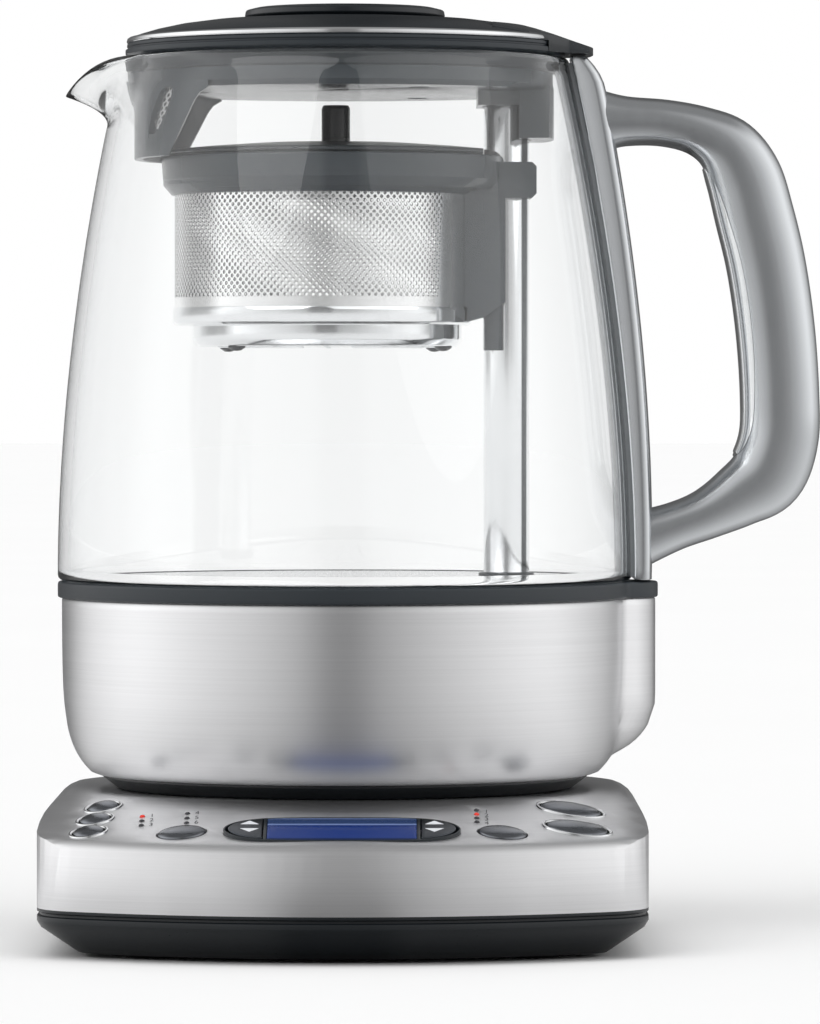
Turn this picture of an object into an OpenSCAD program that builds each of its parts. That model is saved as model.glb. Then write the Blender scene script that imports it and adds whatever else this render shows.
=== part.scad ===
// Automatic tea maker. A power base with a control panel carries a glass jug on a round cordless
// connector. Inside the jug a belt in a hollow post lowers the tea basket into the water and lifts it.
// Origin: on the table, under the jug's axis. +X to the handle, -Y to the control panel, +Z up.
// All sizes are millimetres.

/* [Power base] */
// Width of the base
base_w = 162; // [158:1:166]
// Radius of the curved front, and of the control panel that slopes down to it
panel_r = 137; // [135:1:140]
// How far the centre of the curved front lies behind the jug's axis
panel_y = 35; // [34:0.5:36]
// Distance from the jug's axis to the back of the base
base_back = 80; // [80:1:84]
// Height of the platform that the jug stands on
platform_z = 41; // [40.5:0.1:41]
// Height of the joint between the steel shell and the black tray
tray_top = 13; // [12:0.5:14]
// Slope of the control panel, in degrees
panel_slope = 14.7; // [13.5:0.1:15]
// Wall thickness of the shell and the tray
base_wall = 2; // [1.8:0.1:2.2]
// Travel of a push button
button_travel = 0.8; // [0.5:0.1:0.9]
// Radius of the mains cord that the gland holds
cord_r = 3.5; // [3:0.25:4]

/* [Jug] */
// Radius of the glass at the bottom of the jug
glass_r = 78.6; // [77.5:0.1:79]
// Wall thickness of the glass
glass_wall = 2.9; // [2.5:0.1:3.1]
// Height of the glass rim
rim_z = 240.5; // [240:0.1:240.5]
// How much the glass draws in from its widest part to the rim
neck_draw = 17.6; // [17:0.1:17.8]
// Height of the jug's steel floor
floor_z = 98.7; // [98.5:0.1:99]
// Radius of the brushed steel skirt
skirt_r = 77.5; // [77:0.1:78]
// Width of the strap that carries the handle
spine_w = 25; // [22:0.5:26]
// Depth of the grip, front to back
grip_depth = 22; // [20:0.5:24]

/* [Tea basket] */
// Radius of the perforated basket wall
basket_r = 40.3; // [40:0.1:41]
// Distance of the basket's axis from the jug's axis, away from the handle
basket_x = 6.3; // [6:0.1:6.6]
// Distance of the post's axis from the jug's axis
post_x = 44.2; // [44:0.1:44.4]

/* [Lid] */
// Radius of the lid's dark sealing ring
lid_r = 60; // [59.6:0.1:60.4]
// Radius of the round finger disc on the lid
knob_r = 27.4; // [24:0.2:30]

/* [Hidden] */
$fn = 96;

steel = [0.76, 0.77, 0.78];
polished = [0.86, 0.87, 0.88];
grey_plastic = [0.36, 0.39, 0.43];
dark_plastic = [0.16, 0.18, 0.2];
black_plastic = [0.06, 0.06, 0.07];
board_green = [0.1, 0.35, 0.2];
brass = [0.8, 0.65, 0.3];

// Gap between pieces that move past each other, and a small cut allowance
gap = 0.3;
cut = 1;

// ---- Power base: outline of the base and the sloping panel ----
half_w = base_w / 2;
front_corner_r = 20;
back_corner_r = 44;
front_cx = half_w - front_corner_r;
front_cy = panel_y - sqrt(pow(panel_r - front_corner_r, 2) - front_cx * front_cx);
front_angle = asin(front_cx / (panel_r - front_corner_r));
back_cx = half_w - back_corner_r;
back_cy = base_back - back_corner_r;
top_round = 8;
front_edge_r = 2;
panel_start = 99;
cable_z = 24;
tray_floor = 1.2;
tray_floor_t = 2.2;
foot_r = 8;
foot_sink = 1;
foot_places = [[0, 0], [50, -66], [-50, -66], [52, 26], [-52, 26]];
screw_places = [[60, -37], [-60, -37], [42, 60], [-42, 60]];
board_post_places = [[56, -48], [-56, -48], [30, 27], [-30, 27], [30, 55], [-30, 55]];
board_z = 21;
board_t = 1.6;
power_board_z = 8;
stem_end_z = 28.5;
socket_r = 16.5;
tower_r = 11;
tower_z = 54;

// ---- Control panel: radius and angle of each item about the panel's centre ----
function panel_at(rho, phi) = [rho * sin(phi), panel_y - rho * cos(phi)];
display_at = panel_at(122, 0);
auto_start_at = panel_at(108, -36.3);
keep_warm_at = panel_at(118, -33.8);
basket_button_at = panel_at(128, -31.5);
tea_type_at = panel_at(126.5, -19.4);
strength_at = panel_at(126.5, 19.4);
hot_water_at = panel_at(109.5, 33.6);
start_cancel_at = panel_at(124.5, 29.8);
small_cap = [4.15, 4.15];
oval_cap = [6.5, 5.2];
large_cap = [8.25, 5.5];
rim_w = 1;
rimmed_caps = [[auto_start_at, small_cap], [keep_warm_at, small_cap], [basket_button_at, small_cap],
    [hot_water_at, large_cap], [start_cancel_at, large_cap]];
plain_caps = [[tea_type_at, oval_cap], [strength_at, oval_cap]];
lens_places = concat(
    [for (i = [0 : 2]) [-53, -66.2 - 4 * i]],
    [for (i = [0 : 2]) [-41, -68.1 - 4 * i]],
    [for (i = [0 : 3]) [35.4, -67 - 3.3 * i]]);
lens_r = 0.8;
display_half = [30.6, 9.3];
bezel_w = 0.6;
key_start = 20.8;
key_pin_r = 0.7;
key_pin_z = -3.7;
key_leg_y = 2.6;

// ---- Jug ----
seal_z = 93.3;
seal_top = 97.7;
glass_z = 98;
bulge_x = 66;
bulge_r = 19;
skirt_z = 45.8;
skirt_draw = 7.9;
skirt_curve = 7.5;
skirt_wall = 1.1;
post_r = 6.2;
post_half = 2;
post_wall = 0.8;
post_top = 229.3;
connector_r = 17;
connector_top = 62;
spine_gap = 1.3;
spine_t = 5.4;
spine_grow = 0.0227;
spine_top = 241;
spine_half_angle = asin(spine_w / 2 / glass_r);

// ---- Belt drive in the post ----
pulley_r = 4;
belt_t = 0.6;
belt_w = 4;
drive_z = 88;
idler_z = 222;

// ---- Lid ----
neck_r = 57.6;
lid_plate_z = 231;
trim_z = 244.4;
dome_z = 246.1;
dome_h = 5.4;
dome_r = 58.4;
lid_screw_r = 40;

// ---- Tea basket ----
rim_x = -3.3;
carrier_r = 46.9;
carrier_z = 203;
carrier_top = 213.4;
wall_z = 168.4;
wall_top = 206;
basket_wall_t = 0.6;
floor_lip = 0.5;
floor_lip_top = 172.1;
step_x = -4.8;
step_r = 36.8;
post_clear = 0.4;

// Outer radius of the glass at height z: straight at the bottom, drawing in towards the rim
draw_start = 100;
draw_power = 1.85;
function glass_at(z) = glass_r - neck_draw * pow(max(0, z - draw_start) / (rim_z - draw_start), draw_power);
// Outer radius of the skirt at height z
function skirt_at(z) = skirt_r - skirt_draw * exp((skirt_z - z) / skirt_curve);
// Outer radius of the handle's strap at height z
function spine_at(z) = glass_at(z) + spine_t + spine_grow * (z - glass_z);
// Evenly spaced heights from low to high
function heights(low, high, count) = [for (i = [0 : count]) low + (high - low) * i / count];
function reversed(list) = [for (i = [len(list) - 1 : -1 : 0]) list[i]];
// Radius of the arc that rises by sag over a half chord
function arc_r(half_chord, sag) = (half_chord * half_chord + sag * sag) / (2 * sag);

// ---- Shared shapes ----
module disc(r, low, high) {
    translate([0, 0, low]) cylinder(r = r, h = high - low);
}

module ring(r_out, r_in, low, high) {
    difference() {
        disc(r_out, low, high);
        disc(r_in, low - cut, high + cut);
    }
}

module box(low, high) {
    translate(low) cube(high - low);
}

// Flat ellipse with half axes given by half
module oval(half) {
    polygon([for (a = [0 : 10 : 350]) [half[0] * cos(a), half[1] * sin(a)]]);
}

// Flat oval that stays wide for most of its length and narrows to rounded ends
function long_rise(t) = pow(max(0, 1 - pow(abs(t), 4.5)), 0.55);
module long_oval(half) {
    along = [for (a = [0 : 6 : 180]) -cos(a)];
    polygon(concat([for (t = along) [half[0] * t, -half[1] * long_rise(t)]],
        [for (i = [len(along) - 2 : -1 : 1]) [half[0] * along[i], half[1] * long_rise(along[i])]]));
}

// Prism along X between two values of x; the flat shape's x and y become Y and Z
module along_x(low, high) {
    translate([low, 0, 0]) rotate([90, 0, 90]) linear_extrude(high - low) children();
}

// Prism along Y, centred on y = 0; the flat shape's x and y become X and Z
module along_y(width) {
    translate([0, width / 2, 0]) rotate([90, 0, 0]) linear_extrude(width) children();
}

// Round-ended section of the post, standing along Z, grown by grow
module post_section(grow) {
    translate([post_x, 0]) {
        for (side = [-1, 1]) translate([0, side * post_half]) circle(post_r + grow);
        square([2 * (post_r + grow), 2 * post_half], center = true);
    }
}

module post_bar(grow, low, high) {
    translate([0, 0, low]) linear_extrude(high - low) post_section(grow);
}

// ---- Power base ----
// Points on an arc about centre, at count equal steps after the first angle
function arc(centre, r, from, to, count) = [for (i = [1 : count]) let(a = from + (to - from) * i / count)
    centre + r * [cos(a), sin(a)]];

// Points of the base's outline, drawn in by inset
function outline(inset) = let(f = front_angle, corner = front_corner_r - inset, back = back_corner_r - inset)
    concat(arc([0, panel_y], panel_r - inset, -90 - f, f - 90, 30),
        arc([front_cx, front_cy], corner, f - 90, 0, 6), [[front_cx + corner, back_cy]],
        arc([back_cx, back_cy], back, 0, 90, 12), [[-back_cx, back_cy + back]],
        arc([-back_cx, back_cy], back, 90, 180, 12), [[-front_cx - corner, front_cy]],
        arc([-front_cx, front_cy], corner, 180, 270 - f, 6));

// Solid whose side follows the base's outline. edge lists [inset, height] from bottom to top
module outline_solid(edge) {
    skin([for (e = edge) [for (p = outline(e[0])) [p[0], p[1], e[1]]]]);
}

// Closed skin over rings that have the same number of points
module skin(rings) {
    n = len(rings[0]);
    last = len(rings) - 1;
    polyhedron(points = [for (r = rings, p = r) p], faces = concat(
        [[for (k = [0 : n - 1]) k]],
        [for (i = [0 : last - 1], k = [0 : n - 1]) [i * n + k, (i + 1) * n + k, (i + 1) * n + (k + 1) % n]],
        [for (i = [0 : last - 1], k = [0 : n - 1])
            [i * n + k, (i + 1) * n + (k + 1) % n, i * n + (k + 1) % n]],
        [[for (k = [n - 1 : -1 : 0]) last * n + k]]), convexity = 6);
}

function panel_z(rho) = platform_z - (rho - panel_start) * tan(panel_slope);

// The upper body of the base, drawn in by inset on every side
module base_form(inset, low) {
    top = platform_z - inset;
    edge_x = panel_r - inset - front_edge_r;
    edge_z = panel_z(edge_x);
    intersection() {
        outline_solid(concat([[inset, low]],
            [for (a = [0 : 15 : 90]) [inset + top_round * (1 - cos(a)), top - top_round * (1 - sin(a))]]));
        translate([0, panel_y, -inset]) rotate_extrude() polygon([
            [0, 0], [panel_r + cut, 0],
            [panel_r + cut, edge_z - 2.4 * front_edge_r],
            [edge_x + 0.6 * front_edge_r, edge_z - 0.5 * front_edge_r],
            [edge_x, edge_z],
            [panel_start - top_round, panel_z(panel_start - top_round)],
            [0, panel_z(panel_start - top_round)]]);
    }
}

// Places children on the panel, with Z square to the slope and X kept across the base
module on_panel(at) {
    rho = norm([at[0], at[1] - panel_y]);
    translate([at[0], at[1], panel_z(rho)])
        rotate(a = panel_slope, v = [panel_y - at[1], at[0], 0]) children();
}

// Point below a panel item at height z, along the slope's normal
function under_panel(at, z) = let(rho = norm([at[0], at[1] - panel_y]))
    at - [at[0], at[1] - panel_y] / rho * (panel_z(rho) - z) * tan(panel_slope);

module base_shell() {
    color(steel) difference() {
        union() {
            difference() {
                base_form(0, tray_top);
                base_form(base_wall, tray_top - cut);
            }
            for (at = screw_places) translate(at) disc(4, 9.6, platform_z - cut);
        }
        for (at = screw_places) translate(at) disc(1.5, 9.6 - cut, 22);
        disc(socket_r, 30, platform_z + cut);
        for (item = rimmed_caps) on_panel(item[0])
            translate([0, 0, -5]) linear_extrude(8) oval(item[1] + [rim_w + gap, rim_w + gap]);
        for (item = plain_caps) on_panel(item[0])
            translate([0, 0, -5]) linear_extrude(8) oval(item[1] + [gap, gap]);
        for (at = lens_places) on_panel(at) translate([0, 0, -5]) cylinder(r = lens_r, h = 8);
        on_panel(display_at) translate([0, 0, -6])
            linear_extrude(9) long_oval(display_half + [bezel_w, bezel_w]);
        translate([0, base_back + cut, cable_z]) rotate([90, 0, 0]) cylinder(r = 6.4, h = 6);
    }
}

module base_tray() {
    lip = base_wall + 0.1;
    wall = base_wall + 1.6;
    color(black_plastic) difference() {
        union() {
            difference() {
                union() {
                    outline_solid([[11, tray_floor], [1, 8], [0, 9.6], [0, 11], [0.7, 11.3], [0.7, 11.9],
                        [0, 12.2], [0, tray_top]]);
                    outline_solid([[lip, tray_top - cut], [lip, tray_top + 3]]);
                }
                outline_solid([[12.5, tray_floor + tray_floor_t], [wall, 9.4], [wall, tray_top + 3 + cut]]);
            }
            for (at = screw_places) translate(at) disc(5, tray_floor + tray_floor_t - cut, 9.5);
            for (i = [0 : 1]) translate(board_post_places[i]) disc(3, tray_floor + cut, board_z);
            for (i = [2 : 5]) translate(board_post_places[i]) disc(3, tray_floor + cut, power_board_z);
        }
        for (at = screw_places) translate(at) {
            disc(3.4, tray_floor - cut, 7.4);
            disc(1.8, 7, 10);
        }
        for (at = foot_places) translate(at) disc(foot_r, tray_floor - cut, tray_floor + foot_sink);
    }
}

module rubber_feet() {
    color([0.1, 0.1, 0.1]) for (at = foot_places) translate(at)
        rotate_extrude() polygon([[0, 0], [foot_r - 0.8, 0], [foot_r - 0.1, 0.7],
            [foot_r - 0.1, tray_floor + foot_sink], [0, tray_floor + foot_sink]]);
}

module base_screws() {
    color(steel) for (at = screw_places) translate(at) {
        disc(3, 5, 7.4);
        disc(1.45, 7, 20);
    }
}

module connector_socket() {
    color(black_plastic) difference() {
        union() {
            disc(socket_r + 5, platform_z - base_wall - 3, platform_z - base_wall);
            disc(socket_r - 0.1, 24, platform_z);
            disc(tower_r, platform_z - cut, tower_z);
        }
        ring(8.5, 6.5, 43, tower_z + cut);
        disc(3, 36, tower_z + cut);
        disc(12, 24 - cut, 32);
    }
}

module connector_contacts() {
    color(brass) {
        ring(8.4, 6.6, 43, 44);
        disc(2.9, 36, 37);
        for (side = [-1, 1]) box([side * 9 - 1, -2, 26], [side * 9 + 1, 2, 32]);
    }
}

module display_bezel() {
    frame = display_half + [bezel_w - 0.05, bezel_w - 0.05];
    color(dark_plastic) on_panel(display_at) difference() {
        union() {
            difference() {
                union() {
                    translate([0, 0, -6]) linear_extrude(6.1) long_oval(frame);
                    translate([0, 0, -4.8]) linear_extrude(1.2) long_oval(frame + [2, 1.4]);
                }
                translate([0, 0, -6 - cut]) linear_extrude(6.1 + 2 * cut) long_oval(display_half);
            }
            for (side = [-1, 1]) intersection() {
                box([side * 20.1 - 0.5, -9, -6], [side * 20.1 + 0.5, 9, 0]);
                translate([0, 0, -7]) linear_extrude(8) long_oval(frame);
            }
            for (side = [-1, 1]) intersection() {
                box([side * 26.6 - 0.8, -9, -6], [side * 26.6 + 0.8, 9, -2.6]);
                translate([0, 0, -7]) linear_extrude(8) long_oval(frame);
            }
        }
        for (side = [-1, 1]) translate([side * 23.4, 0, key_pin_z]) rotate([0, 90, 0])
            cylinder(r = key_pin_r + 0.06, h = 10, center = true);
    }
}

module lcd_window() {
    color([0.12, 0.22, 0.6]) on_panel(display_at) intersection() {
        box([-19.55, -9.5, -1.2], [19.55, 9.5, 0.1]);
        translate([0, 0, -3]) linear_extrude(5) long_oval(display_half - [0.05, 0.05]);
    }
}

module lcd_module() {
    color([0.3, 0.35, 0.4]) on_panel(display_at) intersection() {
        box([-18.5, -9.5, -4.4], [18.5, 9.5, -1.3]);
        translate([0, 0, -5]) linear_extrude(5) long_oval(display_half - [gap, gap]);
    }
}

// Rocker key at one end of the display: plate, keel with a pivot pin, and a leg above each switch
module rocker_key(side) {
    clear = 0.25;
    color([0.24, 0.26, 0.28]) intersection() {
        on_panel(display_at) {
            intersection() {
                box([min(side * key_start, side * 31), -9, -2.2], [max(side * key_start, side * 31), 9, 0.4]);
                translate([0, 0, -3]) linear_extrude(4) long_oval(display_half - [clear + 0.5, clear]);
            }
            box([side * 23.3 - 1.7, -1.2, -4.4], [side * 23.3 + 1.7, 1.2, -2.1]);
            translate([side * 23.3, 0, key_pin_z]) rotate([0, 90, 0])
                cylinder(r = key_pin_r, h = 7.6, center = true);
            for (y = [-key_leg_y, key_leg_y]) translate([side * 23.3, y, -9]) cylinder(r = 1, h = 7);
        }
        box([-100, -150, stem_end_z], [100, 0, platform_z]);
    }
}

module left_rocker_key() {
    rocker_key(-1);
}

module right_rocker_key() {
    rocker_key(1);
}

// Push button with a domed cap, a flange that keeps it in and a stem above its switch
module push_button(at, half) {
    proud = 1.5;
    sag = 1.1;
    dome = arc_r(half[0], sag);
    color([0.42, 0.43, 0.45]) intersection() {
        on_panel(at) {
            intersection() {
                translate([0, 0, -3.6]) linear_extrude(3.6 + proud) oval(half);
                translate([0, 0, proud - dome]) sphere(dome);
            }
            translate([0, 0, -3.6]) linear_extrude(1) oval(half + [1, 1]);
            translate([0, 0, -14]) cylinder(r = 2, h = 11);
        }
        box([-100, -150, stem_end_z], [100, 0, platform_z + 2]);
    }
}

module auto_start_button() {
    push_button(auto_start_at, small_cap);
}

module keep_warm_button() {
    push_button(keep_warm_at, small_cap);
}

module basket_button() {
    push_button(basket_button_at, small_cap);
}

module tea_type_button() {
    push_button(tea_type_at, oval_cap);
}

module strength_button() {
    push_button(strength_at, oval_cap);
}

module hot_water_button() {
    push_button(hot_water_at, large_cap);
}

module start_cancel_button() {
    push_button(start_cancel_at, large_cap);
}

module button_rims() {
    color(polished) for (item = rimmed_caps) on_panel(item[0]) difference() {
        translate([0, 0, -1.8]) linear_extrude(2.2) oval(item[1] + [rim_w + gap - 0.05, rim_w + gap - 0.05]);
        translate([0, 0, -3]) linear_extrude(6) oval(item[1] + [gap, gap]);
    }
}

module indicator_lenses() {
    color([0.2, 0.1, 0.1]) for (at = lens_places) on_panel(at)
        translate([0, 0, -3.5]) cylinder(r = lens_r - 0.05, h = 3.6);
}

module control_board() {
    color(board_green) difference() {
        intersection() {
            translate([0, panel_y, 0]) ring(131, 92, board_z, board_z + board_t);
            box([-64, -110, board_z - cut], [64, -44, board_z + board_t + cut]);
        }
        for (i = [0 : 1]) translate(board_post_places[i]) disc(1.2, board_z - cut, board_z + 3);
    }
}

module tact_switches() {
    body_top = 26.1;
    plunger_top = stem_end_z - button_travel - 0.1;
    key_plunger_top = stem_end_z - 0.3;
    color(dark_plastic) {
        for (item = concat(rimmed_caps, plain_caps)) translate(under_panel(item[0], stem_end_z)) {
            box([-3, -3, board_z + board_t], [3, 3, body_top]);
            disc(1.7, body_top - cut, plunger_top);
        }
        for (side = [-1, 1], leg = [-1, 1])
            translate(under_panel(display_at, stem_end_z)
                + [side * 23.3, leg * key_leg_y * cos(panel_slope)]) {
                box([-2.2, -2.2, board_z + board_t], [2.2, 2.2, body_top]);
                disc(1.2, body_top - cut, key_plunger_top);
            }
    }
}

module power_board() {
    board_top = power_board_z + board_t;
    color(board_green) difference() {
        box([-36, 22, power_board_z], [36, 58, board_top]);
        for (i = [2 : 5]) translate(board_post_places[i]) disc(1.2, power_board_z - cut, board_top + cut);
    }
    color(dark_plastic) {
        box([-34, 28, board_top], [-14, 42, board_top + 15]);
        box([-8, 30, board_top], [12, 46, board_top + 12]);
        translate([24, 40]) disc(5, board_top, board_top + 16);
        box([-10, 48, board_top], [10, 56, board_top + 9]);
    }
}

module cord_gland() {
    gland_flange_r = 7.8;
    color(black_plastic) translate([0, base_back, cable_z]) rotate([-90, 0, 0]) difference() {
        union() {
            disc(9, 0, 2.5);
            disc(6.3, -10, 0.5);
            disc(gland_flange_r, -5, -base_wall - 0.1);
        }
        disc(cord_r, -10 - cut, 2.5 + cut);
    }
}

// ---- Jug ----
// Plain bulge towards the handle, standing on the skirt's side
module bulge(r, low, high) {
    translate([bulge_x, 0, 0]) disc(r, low, high);
}

// Skirt with its bulge, drawn in by inset
module skirt_form(inset, high) {
    low = skirt_z + inset * 0.8;
    rotate_extrude() polygon(concat([[0, low - 0.8], [skirt_at(low) - inset - 1, low - 0.8]],
        [for (z = [0 : 2 : 14]) [skirt_at(low + z) - inset, low + z]],
        [for (z = [20 : 8 : 44]) [skirt_at(low + z) - inset, low + z]],
        [[skirt_r - inset, high], [0, high]]));
    translate([bulge_x, 0, 0]) rotate_extrude() polygon([[0, 50 + inset], [7 - inset, 51 + inset],
        [bulge_r - 5.4 - inset, 57 + inset], [bulge_r - 1.2 - inset, 61 + inset / 2],
        [bulge_r - inset, 65], [bulge_r - inset, high], [0, high]]);
}

module jug_skirt() {
    color(steel) difference() {
        skirt_form(0, seal_z);
        skirt_form(skirt_wall, seal_z + cut);
        disc(67, 40, 50);
    }
}

module jug_seal() {
    color(dark_plastic) difference() {
        union() {
            disc(glass_r, seal_z, seal_top);
            bulge(bulge_r + 0.7, seal_z, seal_top);
            disc(glass_r - glass_wall - 0.2, seal_top - cut, floor_z + 0.5);
        }
        disc(72.3, seal_z - cut, floor_z + cut);
        difference() {
            bulge(bulge_r - 3, seal_z - cut, seal_z + 2);
            disc(glass_r - 1, seal_z - 2 * cut, seal_z + 3);
        }
    }
}

module heater_plate() {
    color(polished) difference() {
        rotate_extrude() polygon([[0, floor_z - 1.2], [71.2, floor_z - 1.2], [71.2, 93], [72.2, 93],
            [72.2, floor_z - 0.3], [71.9, floor_z], [0, floor_z]]);
        post_bar(0, floor_z - 5, floor_z + cut);
    }
}

module heat_spreader() {
    color([0.7, 0.7, 0.72]) difference() {
        disc(60, 94.4, floor_z - 1.2);
        post_bar(2, 90, floor_z);
    }
}

module heating_element() {
    gap_angle = 35;
    ring_r = 48;
    tube_r = 3.6;
    tube_z = 90.7;
    color([0.55, 0.5, 0.42]) {
        rotate(gap_angle) rotate_extrude(angle = 360 - 2 * gap_angle)
            translate([ring_r, tube_z]) circle(tube_r);
        for (side = [-1, 1]) rotate(side * (gap_angle + 3)) translate([ring_r, 0]) disc(2, 78, tube_z);
    }
}

module thermal_cutouts() {
    color([0.2, 0.18, 0.16]) {
        for (side = [-1, 1]) translate([-20, side * 15]) {
            disc(9, 88, 94.3);
            box([-2, -1, 82], [2, 1, 89]);
        }
        translate([12, -18]) disc(3, 82, 94.3);
    }
}

module jug_bottom_cap() {
    collar_r = connector_r + gap;
    color(black_plastic) rotate_extrude() polygon([[collar_r, 43.3], [54, 43.3], [56, 41.3], [62.2, 41.3],
        [66.7, 44.7], [65.9, 46.6], [60, 46.6], [58, 45.3], [collar_r + 2.2, 45.3], [collar_r + 2.2, 56],
        [collar_r, 56]]);
}

module jug_connector() {
    color([0.75, 0.74, 0.7]) {
        difference() {
            disc(connector_r, 44, connector_top);
            disc(tower_r + 0.6, 44 - cut, tower_z + 0.8);
        }
        disc(2.4, 40, connector_top - cut);
        ring(8, 7, 46, connector_top - cut);
    }
}

module lift_gearmotor() {
    shaft_bore_r = 1.55;
    color([0.35, 0.35, 0.37]) difference() {
        union() {
            box([51.5, -10.5, 80], [62, 10.5, 91.5]);
            translate([62, 0, 85.6]) rotate([0, 90, 0]) cylinder(r = 5.5, h = 13);
        }
        translate([50, 0, drive_z]) rotate([0, 90, 0]) cylinder(r = shaft_bore_r, h = 8);
    }
}

// Flanged pulley for the belt, centred on x = 0
module pulley() {
    rotate([0, 90, 0]) {
        disc(pulley_r, -belt_w / 2 - 0.3, belt_w / 2 + 0.3);
        for (side = [-1, 1]) translate([0, 0, side * (belt_w / 2 + 0.5)])
            cylinder(r = pulley_r + 1, h = 0.5, center = true);
    }
}

module drive_pulley() {
    color([0.85, 0.85, 0.82]) {
        translate([post_x, 0, drive_z]) {
            pulley();
            rotate([0, 90, 0]) disc(1.5, 0, 12);
        }
    }
}

// The idler turns on two stub journals in the post's walls
module idler_pulley() {
    color([0.85, 0.85, 0.82]) translate([post_x, 0, idler_z]) {
        pulley();
        rotate([0, 90, 0]) disc(1, -post_r + 0.2, post_r - 0.2);
    }
}

module lift_belt() {
    inner = pulley_r + 0.05;
    color(black_plastic) along_x(post_x - belt_w / 2, post_x + belt_w / 2) difference() {
        union() {
            for (z = [drive_z, idler_z]) translate([0, z]) circle(inner + belt_t);
            translate([-inner - belt_t, drive_z]) square([2 * (inner + belt_t), idler_z - drive_z]);
        }
        for (z = [drive_z, idler_z]) translate([0, z]) circle(inner);
        translate([-inner, drive_z]) square([2 * inner, idler_z - drive_z]);
    }
}

// The carriage hangs on one run of the belt and pulls the basket through the post's wall
carriage_low = 180;
carriage_high = 200;
magnet_heights = [182, 191.5];
magnet_h = 6.5;
module magnet_carriage() {
    color([0.8, 0.8, 0.78]) difference() {
        union() {
            box([39.4, -3.5, carriage_low], [41.9, 3.5, carriage_high]);
            box([40.9, -6, 186], [41.9, -3, 194]);
            box([41.4, -6, 186], [46, -4.85, 194]);
        }
        for (z = magnet_heights) box([39, -2.5, z], [40.9, 2.5, z + magnet_h]);
    }
}

module carriage_magnets() {
    color(steel) for (z = magnet_heights) box([39.45, -2.5, z], [40.9, 2.5, z + magnet_h]);
}

module post_tube() {
    color(polished) difference() {
        union() {
            post_bar(0, 93.2, post_top);
            post_bar(1.6, floor_z - 2.4, floor_z - 1.2);
        }
        post_bar(-post_wall, 92, post_top - 1.2);
        translate([post_x - post_r - cut, 0, idler_z]) rotate([0, 90, 0])
            cylinder(r = 1.06, h = 2 * post_r + 2 * cut);
    }
}

module post_seal() {
    color(dark_plastic) difference() {
        post_bar(1.5, floor_z, floor_z + 1.3);
        post_bar(0, floor_z - cut, floor_z + 3);
    }
}

// Beak of the spout: a rounded trough that leaves the neck at -X. grow widens it to the outside
module spout_form(grow, low, top) {
    hull() {
        translate([-50, 0, low]) cylinder(r = 11 + grow, h = top - low, $fn = 48);
        translate([-61.5, 0, 225 - grow]) sphere(r = 1.5 + grow, $fn = 32);
        translate([-72, 0, 233.4 - grow]) cylinder(r = 1.6 + grow, h = top - 233.4 + grow, $fn = 32);
    }
}

module glass_jug() {
    outside = [for (z = heights(glass_z, rim_z, 16)) [glass_at(z), z]];
    inside = [for (p = outside) [p[0] - glass_wall, p[1]]];
    color([0.85, 0.92, 0.95, 0.35]) difference() {
        union() {
            rotate_extrude() polygon(concat(outside, reversed(inside)));
            intersection() {
                spout_form(glass_wall, 228, rim_z);
                // The spout's edge runs down from the rim to the tip
                along_y(60) polygon([[-80, 200], [-80, 231.6], [-75.3, 233.2], [-68.8, 238], [-62, rim_z],
                    [-40, rim_z], [-40, 200]]);
            }
        }
        spout_form(0, 231, rim_z + cut);
        rotate_extrude() polygon(concat([[0, glass_z]], inside, [[0, rim_z]]));
    }
}

// Strap between the glass and the handle, as a turned segment between two radii
module strap(half_angle, inner, outer) {
    rotate(-half_angle) rotate_extrude(angle = 2 * half_angle) polygon(concat(inner, reversed(outer)));
}

module handle_spine() {
    z = heights(glass_z, 232, 14);
    color(polished) difference() {
        strap(spine_half_angle, [for (h = concat(z, [spine_top])) [glass_at(min(h, rim_z)) + spine_gap, h]],
            concat([for (h = z) [spine_at(h), h]], [[spine_at(232) - 1.4, 237.5], [67.9, spine_top]]));
        for (at = handle_screw_places) translate([0, at[0], at[1]]) rotate([0, 90, 0]) {
            cylinder(r = 1.6, h = 100);
            cylinder(r = 3, h = glass_at(at[1]) + spine_gap + 1.8);
        }
    }
}

module spine_gasket() {
    z = heights(glass_z + 1, 239, 14);
    color(dark_plastic) strap(spine_half_angle - 1.5, [for (h = z) [glass_at(h) + 0.06, h]],
        [for (h = z) [glass_at(h) + spine_gap - 0.1, h]]);
}

// ---- Handle: rings of a rounded section along a smooth line in the XZ plane ----
// Each station is [x, z, half thickness]
handle_line = [[69, 223.4, 7.6], [77, 223.4, 6.7], [87.5, 222.9, 6.4], [97, 220.7, 6.9], [104.5, 216.2, 8.8],
    [109.2, 208.5, 10.2], [112.2, 198, 10.6], [115.5, 184, 10.6], [118, 166.5, 10.6], [119.2, 149, 10.6],
    [118.9, 136.5, 10.7], [115.2, 126.6, 10.6], [107.6, 120.8, 8.7], [99, 116, 7],
    [90.5, 112.7, 6.6], [79, 108.6, 7.4]];
handle_steps = 3;
section_points = 24;
section_round = 0.72;

// Smooth curve through the stations
function between(a, b, c, d, t) = 0.5 * (2 * b + (c - a) * t + (2 * a - 5 * b + 4 * c - d) * t * t
    + (3 * b - a - 3 * c + d) * t * t * t);
function smooth_line(list, steps) = let(last = len(list) - 1) concat(
    [for (i = [0 : last - 1], s = [0 : steps - 1])
        between(list[max(i - 1, 0)], list[i], list[i + 1], list[min(i + 2, last)], s / steps)],
    [list[last]]);
// Direction square to the line at point i, pointing away from the jug
function outward(list, i) = let(d = list[min(i + 1, len(list) - 1)] - list[max(i - 1, 0)])
    [-d[1], d[0]] / norm([d[0], d[1]]);
function soft_cos(a) = sign(cos(a)) * pow(abs(cos(a)), section_round);
function soft_sin(a) = sign(sin(a)) * pow(abs(sin(a)), section_round);

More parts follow.
